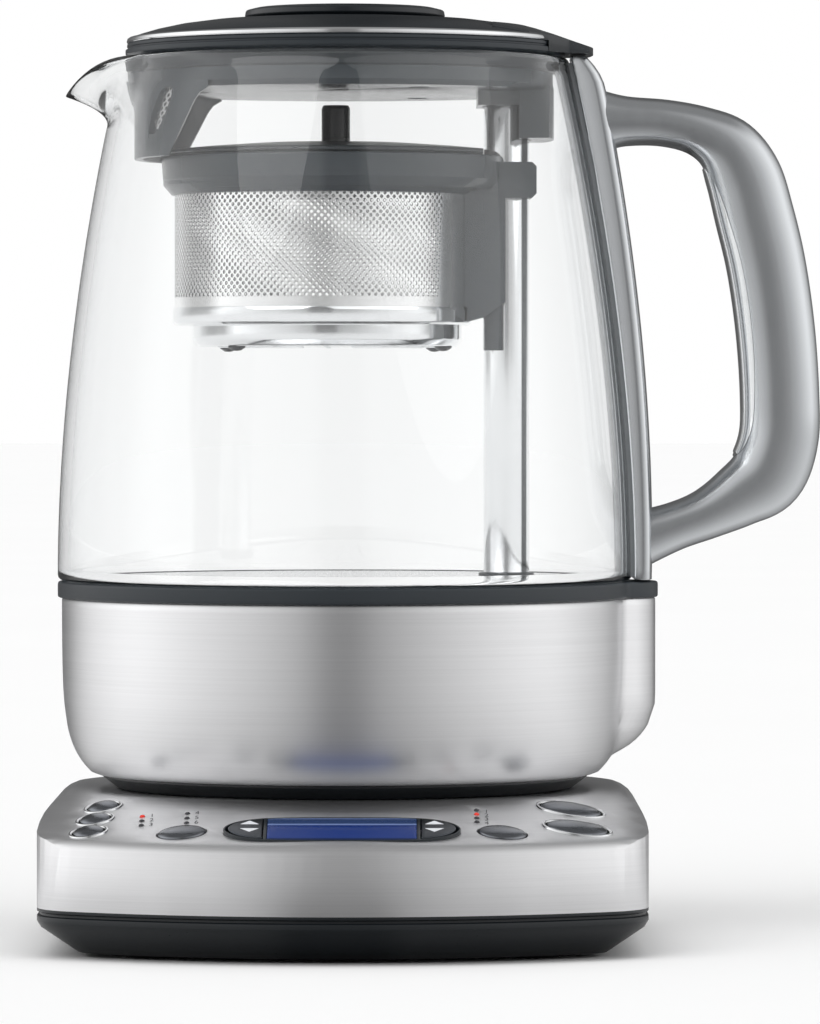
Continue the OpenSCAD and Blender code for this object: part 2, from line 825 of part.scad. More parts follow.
// Points of the rounded section at angles, grown by grow; angle 180 faces the fingers
function section(list, i, angles, grow) = let(p = list[i], n = outward(list, i), h = p[2] + grow,
    w = grip_depth / 2 + grow) [for (a = angles)
        [p[0] + n[0] * h * soft_cos(a), w * soft_sin(a), p[1] + n[1] * h * soft_cos(a)]];

handle_curve = smooth_line(handle_line, handle_steps);

module handle() {
    color([0.74, 0.75, 0.77]) difference() {
        skin([for (i = [0 : len(handle_curve) - 1])
            section(handle_curve, i, [for (k = [0 : section_points - 1]) 360 * k / section_points], 0)]);
        rotate_extrude() polygon(concat([for (z = heights(glass_z, 236, 14)) [spine_at(z), z]],
            [[0, 236], [0, glass_z]]));
        for (at = handle_screw_places) translate([0, at[0], at[1]]) rotate([0, 90, 0])
            cylinder(r = 1.2, h = glass_at(at[1]) + 20);
    }
}

// Thin polished cover on the finger side of the grip
trim_first = 14;
trim_last = 34;
trim_t = 0.5;
module handle_trim() {
    angles = [for (a = [124 : 8 : 236]) a];
    color(polished) skin([for (i = [trim_first : trim_last]) concat(
        section(handle_curve, i, angles, trim_t),
        reversed(section(handle_curve, i, angles, 0.02)))]);
}

handle_screw_places = [[5, 224], [-5, 224], [5, 110.5], [-5, 110.5]];
module handle_screws() {
    color(steel) for (at = handle_screw_places) translate([0, at[0], at[1]]) rotate([0, 90, 0]) {
        seat = glass_at(at[1]) + spine_gap + 1.8;
        disc(2.7, seat - 1.3, seat);
        disc(1.15, seat - 0.5, seat + 14);
    }
}

// ---- Lid ----
// Heights of the dome over the lid: flat in the middle, falling at the edge
function dome_at(r) = dome_z + dome_h * (1 - pow(r / dome_r, 4));

// Tongue at the back of the lid: it carries the dome on over the handle's strap and narrows on the way
module tongue_form(low) {
    half_plan = [[40, 36], [49.6, 31], [55, 24], [61, 15], [69, 12.2]];
    intersection() {
        translate([0, 0, 230]) linear_extrude(30)
            polygon(concat(half_plan, reversed([for (p = half_plan) [p[0], -p[1]]])));
        rotate(-45) rotate_extrude(angle = 90) polygon([[50, low], [67.9, low], [67.9, 243.2], [63, 244.9],
            [58, 246.7], [53, 248.3], [50, 249.1]]);
    }
}

module lid_cover() {
    dome = [for (r = [dome_r, 56, 52, 46, 38, 28, 14, 0]) [r, dome_at(r)]];
    color(black_plastic) difference() {
        union() {
            rotate_extrude() polygon(concat([[0, trim_z], [55.8, trim_z], [55.8, dome_z],
                [dome_r, dome_z]], dome));
            tongue_form(spine_top + 0.4);
            for (a = [60, 180, 300]) rotate(a) translate([lid_screw_r, 0]) disc(3.2, 236.2, trim_z + cut);
        }
        rotate_extrude() polygon([[0, trim_z - cut], [53.5, trim_z - cut], [53.5, trim_z + 1.5], [40, 248.3],
            [0, 249.2]]);
        ring(lid_r + 0.1, 50, 240, trim_z);
        for (a = [60, 180, 300]) rotate(a) translate([lid_screw_r, 0]) disc(1.2, 236, 244);
    }
    color(black_plastic) for (a = [60, 180, 300]) rotate(a) translate([lid_screw_r, 0])
        ring(3.2, 1.2, trim_z - cut, 248.4);
}

module lid_trim_ring() {
    color(polished) difference() {
        rotate_extrude() polygon([[55.85, trim_z], [59.3, trim_z], [59.7, trim_z + 0.5], [59.5, dome_z - 0.4],
            [58.9, dome_z], [55.85, dome_z]]);
        tongue_form(230);
    }
}

module lid_knob() {
    color(black_plastic) difference() {
        rotate_extrude() polygon([[0, 250], [knob_r - 1.2, 250], [knob_r, 252.2], [knob_r - 0.4, 253.4],
            [knob_r - 2, 254.1], [knob_r - 10, 254.6], [0, 255]]);
        rotate_extrude() polygon([[0, 249], [knob_r + cut, 249], [knob_r + cut, dome_at(knob_r + cut) + 0.02],
            [20, dome_at(20) + 0.02], [10, dome_at(10) + 0.02], [0, dome_at(0) + 0.02]]);
    }
}

module lid_gasket() {
    color(dark_plastic) rotate_extrude() polygon([[neck_r - 0.6, 236], [neck_r, 236.6], [neck_r, rim_z + 0.3],
        [lid_r, rim_z + 0.3], [lid_r, trim_z - 1.6], [lid_r - 0.5, trim_z - 1.3], [lid_r - 0.5, trim_z - 0.1],
        [neck_r - 0.6, trim_z - 0.1]]);
}

// Slanted side view of the shield behind the spout
module shield_side() {
    polygon([[-60, 214.5], [-58, 212.7], [-46.4, 212.7], [-39.2, 227.2], [-37.8, 229.2], [-35.5, 230.6],
        [-35.5, 233], [-60, 233]]);
}

// Slanted window in the shield, as a prism through the shield's wall, on one side
window_angle = 32;
window_z = 224.8;
window_half = [3.6, 6.2];
window_lean = 0.72;
module window_prism(side, grow) {
    rotate(180 + side * window_angle) translate([50, 0, window_z]) rotate([90, 0, 90])
        multmatrix([[1, side * window_lean, 0, 0], [0, 1, 0, 0], [0, 0, 1, 0]])
            linear_extrude(10) long_oval(window_half + [grow, grow]);
}

module lid_body() {
    shield_in = neck_r - 2.2;
    color(grey_plastic) difference() {
        union() {
            rotate_extrude() polygon([[0, lid_plate_z], [neck_r - 2, lid_plate_z],
                [neck_r - 0.65, lid_plate_z + 1.4],
                [neck_r - 0.65, trim_z - 0.1], [neck_r - 3, trim_z - 0.1], [neck_r - 3, lid_plate_z + 1.6],
                [0, lid_plate_z + 1.6]]);
            intersection() {
                ring(neck_r, shield_in, 212, lid_plate_z + 1.6);
                along_y(130) shield_side();
            }
            intersection() {
                disc(neck_r - 0.4, 215, lid_plate_z + cut);
                union() {
                    box([36.2, -12, 227.2], [48, 12, lid_plate_z + cut]);
                    box([47.2, -16, 218.1], [60, 16, lid_plate_z + cut]);
                }
            }
            for (a = [60, 180, 300]) rotate(a) translate([lid_screw_r, 0]) disc(4.4, lid_plate_z + cut, 236);
        }
        post_bar(post_clear + 0.1, 210, post_top + 0.5);
        for (side = [-1, 1]) window_prism(side, 0);
        for (a = [60, 180, 300]) rotate(a) translate([lid_screw_r, 0]) {
            disc(3, lid_plate_z - cut, 234.4);
            disc(1.4, 234, 237);
        }
    }
}

module spout_filter() {
    color(steel) intersection() {
        ring(neck_r - 0.8, neck_r - 1.3, 212, 240);
        for (side = [-1, 1]) window_prism(side, -0.02);
    }
}

module lid_screws() {
    color(steel) for (a = [60, 180, 300]) rotate(a) translate([lid_screw_r, 0]) {
        disc(2.7, 232.4, 234.4);
        disc(1.15, 234, 243);
    }
}

// ---- Tea basket ----
module basket_carrier() {
    color(grey_plastic) difference() {
        union() {
            translate([rim_x, 0, 0]) rotate_extrude() polygon([[0, carrier_z + 1.4], [44.4, carrier_z + 1.4],
                [carrier_r - 0.4, carrier_z + 4], [carrier_r, carrier_top - 0.5],
                [carrier_r - 0.3, carrier_top],
                [0, carrier_top]]);
            translate([-basket_x, 0, 0]) rotate_extrude() polygon([[0, carrier_z],
                [basket_r + 0.9, carrier_z],
                [43.4, carrier_z + 2.6], [43.4, carrier_top], [0, carrier_top]]);
            // Bracket behind the wall, with cheeks on both sides of the post
            along_y(22.4) polygon([[30, 167.2], [34.5, 168.7], [38.2, 169.7], [43.5, 173.8], [43.5, 204],
                [30, 204]]);
            along_y(22.4) polygon([[36, 202], [50.8, 202], [52, 203.2], [52, 210.6], [50.8, 211.8],
                [36, 211.8]]);
            // Two thin prongs that guide the basket on the post
            intersection() {
                post_bar(1.8, 160.6, 175);
                box([38, -12, 160], [42.7, 12, 176]);
            }
        }
        translate([-basket_x, 0, 0]) {
            disc(basket_r + 0.05, 160, wall_top);
            disc(basket_r + floor_lip + gap, 160, floor_lip_top + gap);
            disc(42, wall_top - 0.1, carrier_top + cut);
        }
        post_bar(post_clear, 155, 220);
        for (z = magnet_heights) box([35.1, -2.5, z], [37.1, 2.5, z + magnet_h]);
    }
}

module basket_magnets() {
    color(steel) for (z = magnet_heights) box([35.1, -2.5, z], [37.1, 2.5, z + magnet_h]);
}

module basket_wall() {
    color(steel) translate([-basket_x, 0, 0]) ring(basket_r, basket_r - basket_wall_t, wall_z, wall_top);
}

module basket_floor() {
    color(polished) difference() {
        union() {
            translate([-basket_x, 0, 0]) difference() {
                disc(basket_r + floor_lip, 167.5, floor_lip_top);
                disc(basket_r + 0.02, wall_z, 173);
            }
            translate([step_x, 0, 0]) rotate_extrude() polygon([[0, 161.7], [step_r - 1.6, 161.7],
                [step_r - 0.4, 162.3], [step_r, 163.5], [step_r, 168], [0, 168]]);
        }
        translate([step_x, 0, 0]) disc(step_r - 0.8, 162.5, 169);
        for (a = [0 : 30 : 330]) translate([step_x, 0, 0]) rotate(a) box([14, -0.9, 161], [30, 0.9, 163]);
    }
}

module basket_feet() {
    color(dark_plastic) for (a = [22, 142, 218, 338])
        translate([step_x, 0, 0]) rotate(a + 5) translate([33, 0])
        rotate_extrude() polygon([[0, 160.3], [1.2, 160.5], [2.3, 161.2], [2.4, 161.7], [0, 161.7]]);
}

// The lid is cut straight beside the post
lid_chord_x = 37.4;
module basket_lid() {
    color(dark_plastic) difference() {
        union() {
            translate([rim_x, 0, 0]) rotate_extrude() polygon([[0, carrier_top + 0.1],
                [carrier_r - 0.7, carrier_top + 0.1], [carrier_r, carrier_top + 0.7],
                [carrier_r - 0.6, carrier_top + 1.6], [carrier_r - 3, carrier_top + 1.8], [30, 216.6],
                [14, 217.4],
                [0, 217.6]]);
            translate([-basket_x, 0, 0]) disc(41.6, 211.6, carrier_top + 0.5);
        }
        translate([-basket_x, 0, 0]) disc(39.6, 211, carrier_top + 0.4);
        box([lid_chord_x, -40, 205], [60, 40, 225]);
        translate([knob_x, 0]) disc(1.6, 210, 225);
    }
}

knob_x = -2.5;
module basket_knob() {
    color([0.02, 0.02, 0.02]) translate([knob_x, 0, 0]) {
        rotate_extrude() polygon([[0, 217.7], [3.9, 217.7], [3.9, 226.3], [3.5, 227.2], [2.7, 227.5],
            [0, 227.5]]);
        disc(1.5, 215.6, 218);
    }
}

base_shell();
base_tray();
rubber_feet();
base_screws();
connector_socket();
connector_contacts();
display_bezel();
lcd_window();
lcd_module();
left_rocker_key();
right_rocker_key();
auto_start_button();
keep_warm_button();
basket_button();
tea_type_button();
strength_button();
hot_water_button();
start_cancel_button();
button_rims();
indicator_lenses();
control_board();
tact_switches();
power_board();
cord_gland();
glass_jug();
jug_seal();
jug_skirt();
heater_plate();
heat_spreader();
heating_element();
thermal_cutouts();
jug_bottom_cap();
jug_connector();
lift_gearmotor();
drive_pulley();
idler_pulley();
lift_belt();
magnet_carriage();
carriage_magnets();
post_tube();
post_seal();
handle();
handle_trim();
handle_spine();
spine_gasket();
handle_screws();
lid_cover();
lid_trim_ring();
lid_knob();
lid_gasket();
lid_body();
spout_filter();
lid_screws();
basket_carrier();
basket_wall();
basket_floor();
basket_feet();
basket_lid();
basket_knob();
basket_magnets();
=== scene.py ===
import logging
import math
from collections.abc import Callable, Iterable, Sequence
from dataclasses import dataclass, field
from enum import Enum
from typing import Any

import bmesh
import bpy
from mathutils import Matrix, Vector


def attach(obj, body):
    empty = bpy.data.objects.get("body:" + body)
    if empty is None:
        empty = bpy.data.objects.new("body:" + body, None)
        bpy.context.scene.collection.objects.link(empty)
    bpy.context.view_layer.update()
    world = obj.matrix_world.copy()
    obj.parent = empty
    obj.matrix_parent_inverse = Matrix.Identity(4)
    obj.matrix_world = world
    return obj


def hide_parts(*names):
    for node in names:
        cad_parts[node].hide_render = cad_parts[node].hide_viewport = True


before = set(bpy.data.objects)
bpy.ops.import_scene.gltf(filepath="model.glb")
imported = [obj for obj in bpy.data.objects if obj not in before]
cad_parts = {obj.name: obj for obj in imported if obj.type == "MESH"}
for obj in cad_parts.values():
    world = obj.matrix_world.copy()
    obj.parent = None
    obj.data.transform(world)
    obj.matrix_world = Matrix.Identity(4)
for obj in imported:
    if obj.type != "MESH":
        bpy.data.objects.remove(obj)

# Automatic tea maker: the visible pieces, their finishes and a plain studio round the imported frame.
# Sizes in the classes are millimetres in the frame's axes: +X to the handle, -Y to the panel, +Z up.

LOG = logging.getLogger("tea_maker")
MM = 0.001
DOUBLE = 1e-4  # mm within which two vertices are one
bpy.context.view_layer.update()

Colour = tuple[float, float, float]
Point2 = tuple[float, float]
Point3 = tuple[float, float, float]


# ---- Shader maths ----
class Wire:
    """An output socket. Arithmetic on it adds Math nodes to its graph."""

    def __init__(self, graph: "Graph", socket: bpy.types.NodeSocket) -> None:
        """Wraps a socket.

        Args:
            graph: The graph that the socket belongs to.
            socket: The output socket.
        """
        self.graph = graph
        self.socket = socket

    def _math(self, operation: str, first: "Wire | float", second: "Wire | float") -> "Wire":
        """Adds one Math node and returns its result."""
        return self.graph.wire("ShaderNodeMath", {"operation": operation}, {0: first, 1: second})

    def __add__(self, other: "Wire | float") -> "Wire":
        """self + other."""
        return self._math("ADD", self, other)

    def __sub__(self, other: "Wire | float") -> "Wire":
        """self - other."""
        return self._math("SUBTRACT", self, other)

    def __rsub__(self, other: float) -> "Wire":
        """other - self."""
        return self._math("SUBTRACT", other, self)

    def __mul__(self, other: "Wire | float") -> "Wire":
        """self * other."""
        return self._math("MULTIPLY", self, other)

    def __truediv__(self, other: "Wire | float") -> "Wire":
        """self / other."""
        return self._math("DIVIDE", self, other)

    def __pow__(self, other: float) -> "Wire":
        """self to the power other."""
        return self._math("POWER", self, other)

    def over(self, limit: float) -> "Wire":
        """1 where the value is above limit, else 0."""
        return self._math("GREATER_THAN", self, limit)

    def most(self, other: "Wire | float") -> "Wire":
        """The larger of the two values."""
        return self._math("MAXIMUM", self, other)


class Graph:
    """Builds the node tree of a material, a lamp or the world."""

    def __init__(self, tree: bpy.types.NodeTree) -> None:
        """Starts from an empty tree.

        Args:
            tree: The tree to fill.
        """
        self.tree = tree
        self.tree.nodes.clear()

    def add(self, kind: str, settings: dict[str, Any] | None = None,
            inputs: dict[str | int, Any] | None = None) -> bpy.types.Node:
        """Adds a node.

        Args:
            kind: Blender's name for the node type.
            settings: Node settings, set first. "stops" fills a colour ramp.
            inputs: Values, sockets or wires for the node's inputs.

        Returns:
            The new node.
        """
        node = self.tree.nodes.new(kind)
        for name, value in (settings or {}).items():
            if name == "stops":
                self._fill_ramp(node.color_ramp, value)
            else:
                setattr(node, name, value)
        for key, value in (inputs or {}).items():
            if isinstance(value, Wire):
                self.tree.links.new(value.socket, node.inputs[key])
            else:
                node.inputs[key].default_value = value
        return node

    @staticmethod
    def _fill_ramp(ramp: bpy.types.ColorRamp, stops: Sequence[tuple[float, float | Colour]]) -> None:
        """Sets a ramp's stops, each a position and a grey level or a colour."""
        while len(ramp.elements) < len(stops):
            ramp.elements.new(1.0)
        for element, (position, value) in zip(ramp.elements, stops):
            colour = (value, value, value) if isinstance(value, (int, float)) else value
            element.position = position
            element.color = (*colour, 1.0)

    def wire(self, kind: str, settings: dict[str, Any] | None = None,
             inputs: dict[str | int, Any] | None = None, output: str | int = 0) -> Wire:
        """Adds a node and returns one of its outputs.

        Args:
            kind: Blender's name for the node type.
            settings: Node settings, set first.
            inputs: Values or wires for the node's inputs.
            output: Name or index of the output.

        Returns:
            The output as a wire.
        """
        return Wire(self, self.add(kind, settings, inputs).outputs[output])

    def place(self, stretch: Point3 = (1.0, 1.0, 1.0), shift: Point3 = (0.0, 0.0, 0.0)) -> Wire:
        """Object coordinates, stretched per metre and shifted."""
        here = self.wire("ShaderNodeTexCoord", output="Object")
        return self.wire("ShaderNodeMapping", None, {"Vector": here, "Scale": stretch, "Location": shift})

    def axes(self) -> tuple[Wire, Wire, Wire]:
        """The three Object coordinates in metres."""
        split = self.add("ShaderNodeSeparateXYZ", None, {0: self.wire("ShaderNodeTexCoord", output="Object")})
        return Wire(self, split.outputs[0]), Wire(self, split.outputs[1]), Wire(self, split.outputs[2])

    def noise(self, stretch: Point3, detail: float = 3.0, rough: float = 0.6) -> Wire:
        """Noise from 0 to 1, with the given number of grains per metre along each axis."""
        return self.wire("ShaderNodeTexNoise", None,
                         {"Vector": self.place(stretch), "Scale": 1.0, "Detail": detail, "Roughness": rough})

    def ramp(self, value: Wire, stops: Sequence[tuple[float, float | Colour]]) -> Wire:
        """Maps a value through a colour ramp."""
        return self.wire("ShaderNodeValToRGB", {"stops": stops}, {"Fac": value})

    def level(self, value: Wire, stops: Sequence[tuple[float, float]]) -> Wire:
        """Maps a value to a number, in straight lines between stops.

        Args:
            value: The value to map.
            stops: Any number of pairs of a value and its result.

        Returns:
            The result as a wire.
        """
        node = self.add("ShaderNodeFloatCurve", None, {"Value": value})
        curve = node.mapping.curves[0]
        node.mapping.use_clip = False
        for _ in stops[2:]:
            curve.points.new(0.5, 0.5)
        for point, (place, result) in zip(curve.points, stops):
            point.location = (place, result)
            point.handle_type = "VECTOR"
        node.mapping.update()
        return Wire(self, node.outputs[0])

    def blend(self, share: Wire | float, first: Wire | Colour, second: Wire | Colour) -> Wire:
        """Mixes two colours.

        Args:
            share: Share of the second colour.
            first: Colour at a share of 0.
            second: Colour at a share of 1.

        Returns:
            The mixed colour.
        """
        def full(value: Wire | Colour) -> Wire | tuple[float, ...]:
            """A colour with its alpha, or the wire itself."""
            return value if isinstance(value, Wire) else (*value, 1.0)

        inputs = {0: share, 6: full(first), 7: full(second)}
        return self.wire("ShaderNodeMix", {"data_type": "RGBA"}, inputs, 2)

    def bump(self, height: Wire, strength: float, depth: float) -> Wire:
        """A normal from a height in units of depth metres."""
        return self.wire("ShaderNodeBump", None, {"Height": height, "Strength": strength, "Distance": depth})

    def shader(self, **values: Any) -> Wire:
        """The Principled shader, with underscores in names standing for spaces."""
        return self.wire("ShaderNodeBsdfPrincipled", None,
                         {name.replace("_", " "): value for name, value in values.items()})

    def finish(self, shader: Wire, kind: str = "ShaderNodeOutputMaterial") -> None:
        """Ends the tree in an output node."""
        self.add(kind, None, {"Surface": shader})


def shade(colour: Colour, factor: float) -> Colour:
    """A colour made lighter or darker."""
    return (colour[0] * factor, colour[1] * factor, colour[2] * factor)


# ---- Finishes ----
@dataclass(frozen=True)
class Finish:
    """A named surface finish, built once as a material."""

    name: str

    def surface(self, graph: Graph) -> Wire:
        """Builds the nodes and returns the shader."""
        raise NotImplementedError

    def material(self) -> bpy.types.Material:
        """The finish as a material, made on first use.

        Returns:
            The material that bears the finish's name.
        """
        found = bpy.data.materials.get(self.name)
        if found is not None:
            return found
        made = bpy.data.materials.new(self.name)
        made.use_nodes = True
        graph = Graph(made.node_tree)
        graph.finish(self.surface(graph))
        return made


@dataclass(frozen=True)
class Brushed(Finish):
    """Steel with fine parallel brush lines."""

    colour: Colour = (0.88, 0.88, 0.89)
    grain: Point3 = (9.0, 9.0, 1900.0)
    roughness: float = 0.3
    anisotropy: float = 0.55
    fine_step: float = 3.1
    cloud: float = 18.0

    def surface(self, graph: Graph) -> Wire:
        """Long streaks in colour, roughness and height, with a slow cloud over them.

        Args:
            graph: The material's graph.

        Returns:
            The shader.
        """
        lines = graph.noise(self.grain, 4.0, 0.7)
        fine = graph.noise(tuple(self.fine_step * g for g in self.grain), 2.0, 0.5)
        cloud = graph.noise((self.cloud, self.cloud, self.cloud), 2.0)
        streak = lines * 0.65 + fine * 0.35
        colour = graph.blend(streak, shade(self.colour, 0.86), shade(self.colour, 1.1))
        return graph.shader(
            Base_Color=graph.blend(cloud * 0.3, colour, shade(self.colour, 0.92)), Metallic=1.0,
            Roughness=streak * 0.16 + (self.roughness - 0.08) + cloud * 0.04, Anisotropic=self.anisotropy,
            Anisotropic_Rotation=0.25, Normal=graph.bump(streak, 0.12, 0.00004))


@dataclass(frozen=True)
class Polished(Finish):
    """Bright metal with faint wiping marks."""

    colour: Colour = (0.83, 0.84, 0.85)
    roughness: float = 0.09
    grain: Point3 = (240.0, 240.0, 60.0)
    speck: float = 900.0

    def surface(self, graph: Graph) -> Wire:
        """Small changes of gloss over a bright metal.

        Args:
            graph: The material's graph.

        Returns:
            The shader.
        """
        smear = graph.noise(self.grain, 3.0)
        speck = graph.noise((self.speck, self.speck, self.speck), 2.0)
        return graph.shader(
            Base_Color=graph.blend(smear, shade(self.colour, 0.95), self.colour), Metallic=1.0,
            Roughness=smear * 0.08 + speck * 0.03 + (self.roughness - 0.04),
            Normal=graph.bump(smear, 0.03, 0.00005))


@dataclass(frozen=True)
class Moulded(Finish):
    """Moulded plastic or rubber with a fine skin."""

    colour: Colour = (0.1, 0.1, 0.1)
    roughness: float = 0.35
    coat: float = 0.0
    skin: float = 1600.0
    relief: float = 0.05
    tone: float = 35.0

    def surface(self, graph: Graph) -> Wire:
        """A fine even skin with slow changes of tone and gloss.

        Args:
            graph: The material's graph.

        Returns:
            The shader.
        """
        skin = graph.noise((self.skin, self.skin, self.skin), 2.0)
        tone = graph.noise((self.tone, self.tone, self.tone), 2.0)
        return graph.shader(
            Base_Color=graph.blend(tone, shade(self.colour, 0.88), shade(self.colour, 1.1)),
            Roughness=skin * 0.1 + tone * 0.06 + (self.roughness - 0.08), Coat_Weight=self.coat,
            Coat_Roughness=0.08, Normal=graph.bump(skin, self.relief, 0.00006))


@dataclass(frozen=True)
class ClearGlass(Finish):
    """Clear jug glass, greyed towards its edges by painted shade, that lets light through to what it holds.
    """

    colour: Colour = (0.99, 0.995, 0.995)
    edge: Colour = (0.78, 0.8, 0.82)
    # Grey of the painted edge shade, which stands in for the dark lines that refraction draws at the glass's
    # edges.
    film: Colour = (0.93, 0.94, 0.94)
    ior: float = 1.47
    wave: Point3 = (14.0, 14.0, 9.0)

    def surface(self, graph: Graph) -> Wire:
        """Refracting glass, replaced by a clear film for shadow and diffuse rays.

        Args:
            graph: The material's graph.

        Returns:
            The shader.
        """
        facing = graph.wire("ShaderNodeLayerWeight", None, {"Blend": 0.5}, "Facing")
        wave = graph.noise(self.wave, 1.0)
        # Base colour greys with facing: painted shade at grazing angles, not a tint of the glass itself.
        glass = graph.shader(
            Base_Color=graph.blend(facing ** 3.0, self.colour, self.edge), Roughness=wave * 0.004,
            IOR=self.ior, Transmission_Weight=1.0, Normal=graph.bump(wave, 0.05, 0.0004))
        film = graph.wire("ShaderNodeBsdfTransparent", None, {"Color": (*self.film, 1.0)})
        path = graph.add("ShaderNodeLightPath")
        shadow, diffuse = (Wire(graph, path.outputs[name]) for name in ("Is Shadow Ray", "Is Diffuse Ray"))
        plain = shadow.most(diffuse)
        return graph.wire("ShaderNodeMixShader", None, {0: plain, 1: glass, 2: film})


@dataclass(frozen=True)
class Backlit(Finish):
    """Blue display with a paler band along its top, a thin light line below that and a dark foot, and a
    painted highlight of the bezel's upper edge just under the top.
    """

    deep: Colour = (0.006, 0.014, 0.05)
    blue: Colour = (0.01, 0.032, 0.17)
    pale: Colour = (0.035, 0.065, 0.17)
    # Colour of the thin light line, also used for the painted highlight of the bezel's upper edge.
    line: Colour = (0.2, 0.27, 0.5)
    middle_y: float = -87.0
    half_y: float = 9.0
    dots: Point3 = (900.0, 2400.0, 2400.0)
    glow: float = 0.03

    def surface(self, graph: Graph) -> Wire:
        """Bands across the window by their place on the slope, with faint dot rows.

        Args:
            graph: The material's graph.

        Returns:
            The shader.
        """
        _, y, _ = graph.axes()
        up = (y - self.middle_y * MM) * (0.5 / (self.half_y * MM)) + 0.5
        dots = graph.noise(self.dots, 1.0)
        # The stop at 0.96 is a painted highlight of the bezel's upper edge; the light line at 0.69 to 0.72 is
        # the thin line across the window.
        bands = graph.ramp(up + dots * 0.01, [
            (0.0, self.deep), (0.07, self.deep), (0.11, self.blue), (0.66, self.blue), (0.69, self.line),
            (0.72, self.line), (0.75, self.pale), (0.93, self.pale), (0.96, self.line), (1.0, self.deep)])
        return graph.shader(
            Base_Color=graph.blend(dots * 0.2, bands, self.deep), Roughness=dots * 0.05 + 0.12,
            Specular_IOR_Level=0.15, Emission_Color=bands, Emission_Strength=self.glow,
            Normal=graph.bump(dots, 0.02, 0.00002))


@dataclass(frozen=True)
class Board(Finish):
    """Circuit board with copper tracks under its solder resist."""

    colour: Colour = (0.02, 0.13, 0.06)
    cells: float = 260.0

    def surface(self, graph: Graph) -> Wire:
        """Cells of lighter tracks on the green board.

        Args:
            graph: The material's graph.

        Returns:
            The shader.
        """
        cells = graph.wire("ShaderNodeTexVoronoi", {"feature": "DISTANCE_TO_EDGE"},
                           {"Vector": graph.place((self.cells, self.cells, self.cells)), "Scale": 1.0})
        track = cells.over(0.08)
        return graph.shader(
            Base_Color=graph.blend(track, shade(self.colour, 2.2), self.colour), Roughness=track * 0.15 + 0.3,
            Normal=graph.bump(track, 0.2, 0.00005))


class Stuff(Enum):
    """The finishes of the tea maker."""

    SKIRT_STEEL = Brushed("Skirt steel", grain=(7.0, 7.0, 1900.0), roughness=0.36, anisotropy=0.62)
    BASE_STEEL = Brushed("Base steel", grain=(9.0, 9.0, 1900.0), roughness=0.36, anisotropy=0.5)
    STRAP_STEEL = Polished(
        "Strap steel", colour=(0.72, 0.74, 0.76), roughness=0.2, grain=(900.0, 900.0, 25.0))
    POST_STEEL = Polished("Post steel", roughness=0.1, grain=(1200.0, 1200.0, 30.0))
    BRIGHT_TRIM = Polished("Bright trim")
    FLOOR_STEEL = Brushed("Floor steel", grain=(900.0, 14.0, 900.0), roughness=0.26, anisotropy=0.3)
    SIEVE_STEEL = Polished(
        "Sieve steel", colour=(0.9, 0.9, 0.9), roughness=0.17, grain=(300.0, 300.0, 900.0))
    SCREW_STEEL = Polished("Screw steel", roughness=0.25)
    GRIP_METAL = Polished(
        "Grip metal", colour=(0.66, 0.68, 0.7), roughness=0.23, grain=(160.0, 160.0, 35.0))
    BUTTON_METAL = Polished(
        "Button metal", colour=(0.22, 0.23, 0.25), roughness=0.2, grain=(700.0, 90.0, 90.0))
    KEY_METAL = Polished("Key metal", colour=(0.1, 0.11, 0.125), roughness=0.3, grain=(700.0, 90.0, 90.0))
    CAST_METAL = Polished(
        "Cast metal", colour=(0.62, 0.62, 0.63), roughness=0.5, grain=(500.0, 500.0, 500.0))
    BRASS = Polished("Contact brass", colour=(0.75, 0.56, 0.26), roughness=0.25)
    GREY_PLASTIC = Moulded(
        "Grey plastic", colour=(0.032, 0.039, 0.046), roughness=0.24, skin=500.0, relief=0.006)
    DARK_PLASTIC = Moulded("Dark plastic", colour=(0.014, 0.018, 0.022), roughness=0.3, relief=0.02)
    BLACK_PLASTIC = Moulded("Black plastic", colour=(0.006, 0.008, 0.01), roughness=0.3)
    LID_BLACK = Moulded("Lid black", colour=(0.01, 0.013, 0.016), roughness=0.24)
    KNOB_BLACK = Moulded("Knob black", colour=(0.003, 0.003, 0.004), roughness=0.25)
    SEAL_RUBBER = Moulded("Seal rubber", colour=(0.017, 0.022, 0.027), roughness=0.42, skin=2400.0)
    GASKET_GREY = Moulded("Gasket grey", colour=(0.2, 0.21, 0.22), roughness=0.5, skin=2400.0)
    FOOT_RUBBER = Moulded("Foot rubber", colour=(0.012, 0.012, 0.012), roughness=0.8, relief=0.3)
    ELEMENT = Moulded("Heating sheath", colour=(0.12, 0.1, 0.08), roughness=0.6, relief=0.3)
    CREAM_PLASTIC = Moulded("Cream plastic", colour=(0.5, 0.48, 0.43), roughness=0.45)
    PRINT_GREY = Moulded("Print grey", colour=(0.05, 0.05, 0.055), roughness=0.5)
    PRINT_WHITE = Moulded("Print white", colour=(0.75, 0.77, 0.8), roughness=0.4)
    LENS_LIT = Moulded("Lit lens", colour=(0.75, 0.03, 0.015), roughness=0.25, coat=0.4)
    LENS_DARK = Moulded("Dark lens", colour=(0.03, 0.03, 0.035), roughness=0.2, coat=0.4)
    GLASS = ClearGlass("Jug glass")
    DISPLAY = Backlit("Display blue")
    BOARD = Board("Circuit board")


# ---- Outlines and sections, in millimetres ----
def arc(centre: Point2, radius: float, start: float, end: float, count: int) -> list[Point2]:
    """Points on an arc, both ends included.

    Args:
        centre: Centre of the arc.
        radius: Its radius.
        start: First angle, in degrees.
        end: Last angle, in degrees.
        count: Number of steps.

    Returns:
        The points in order.
    """
    angles = [math.radians(start + (end - start) * i / count) for i in range(count + 1)]
    return [(centre[0] + radius * math.cos(a), centre[1] + radius * math.sin(a)) for a in angles]


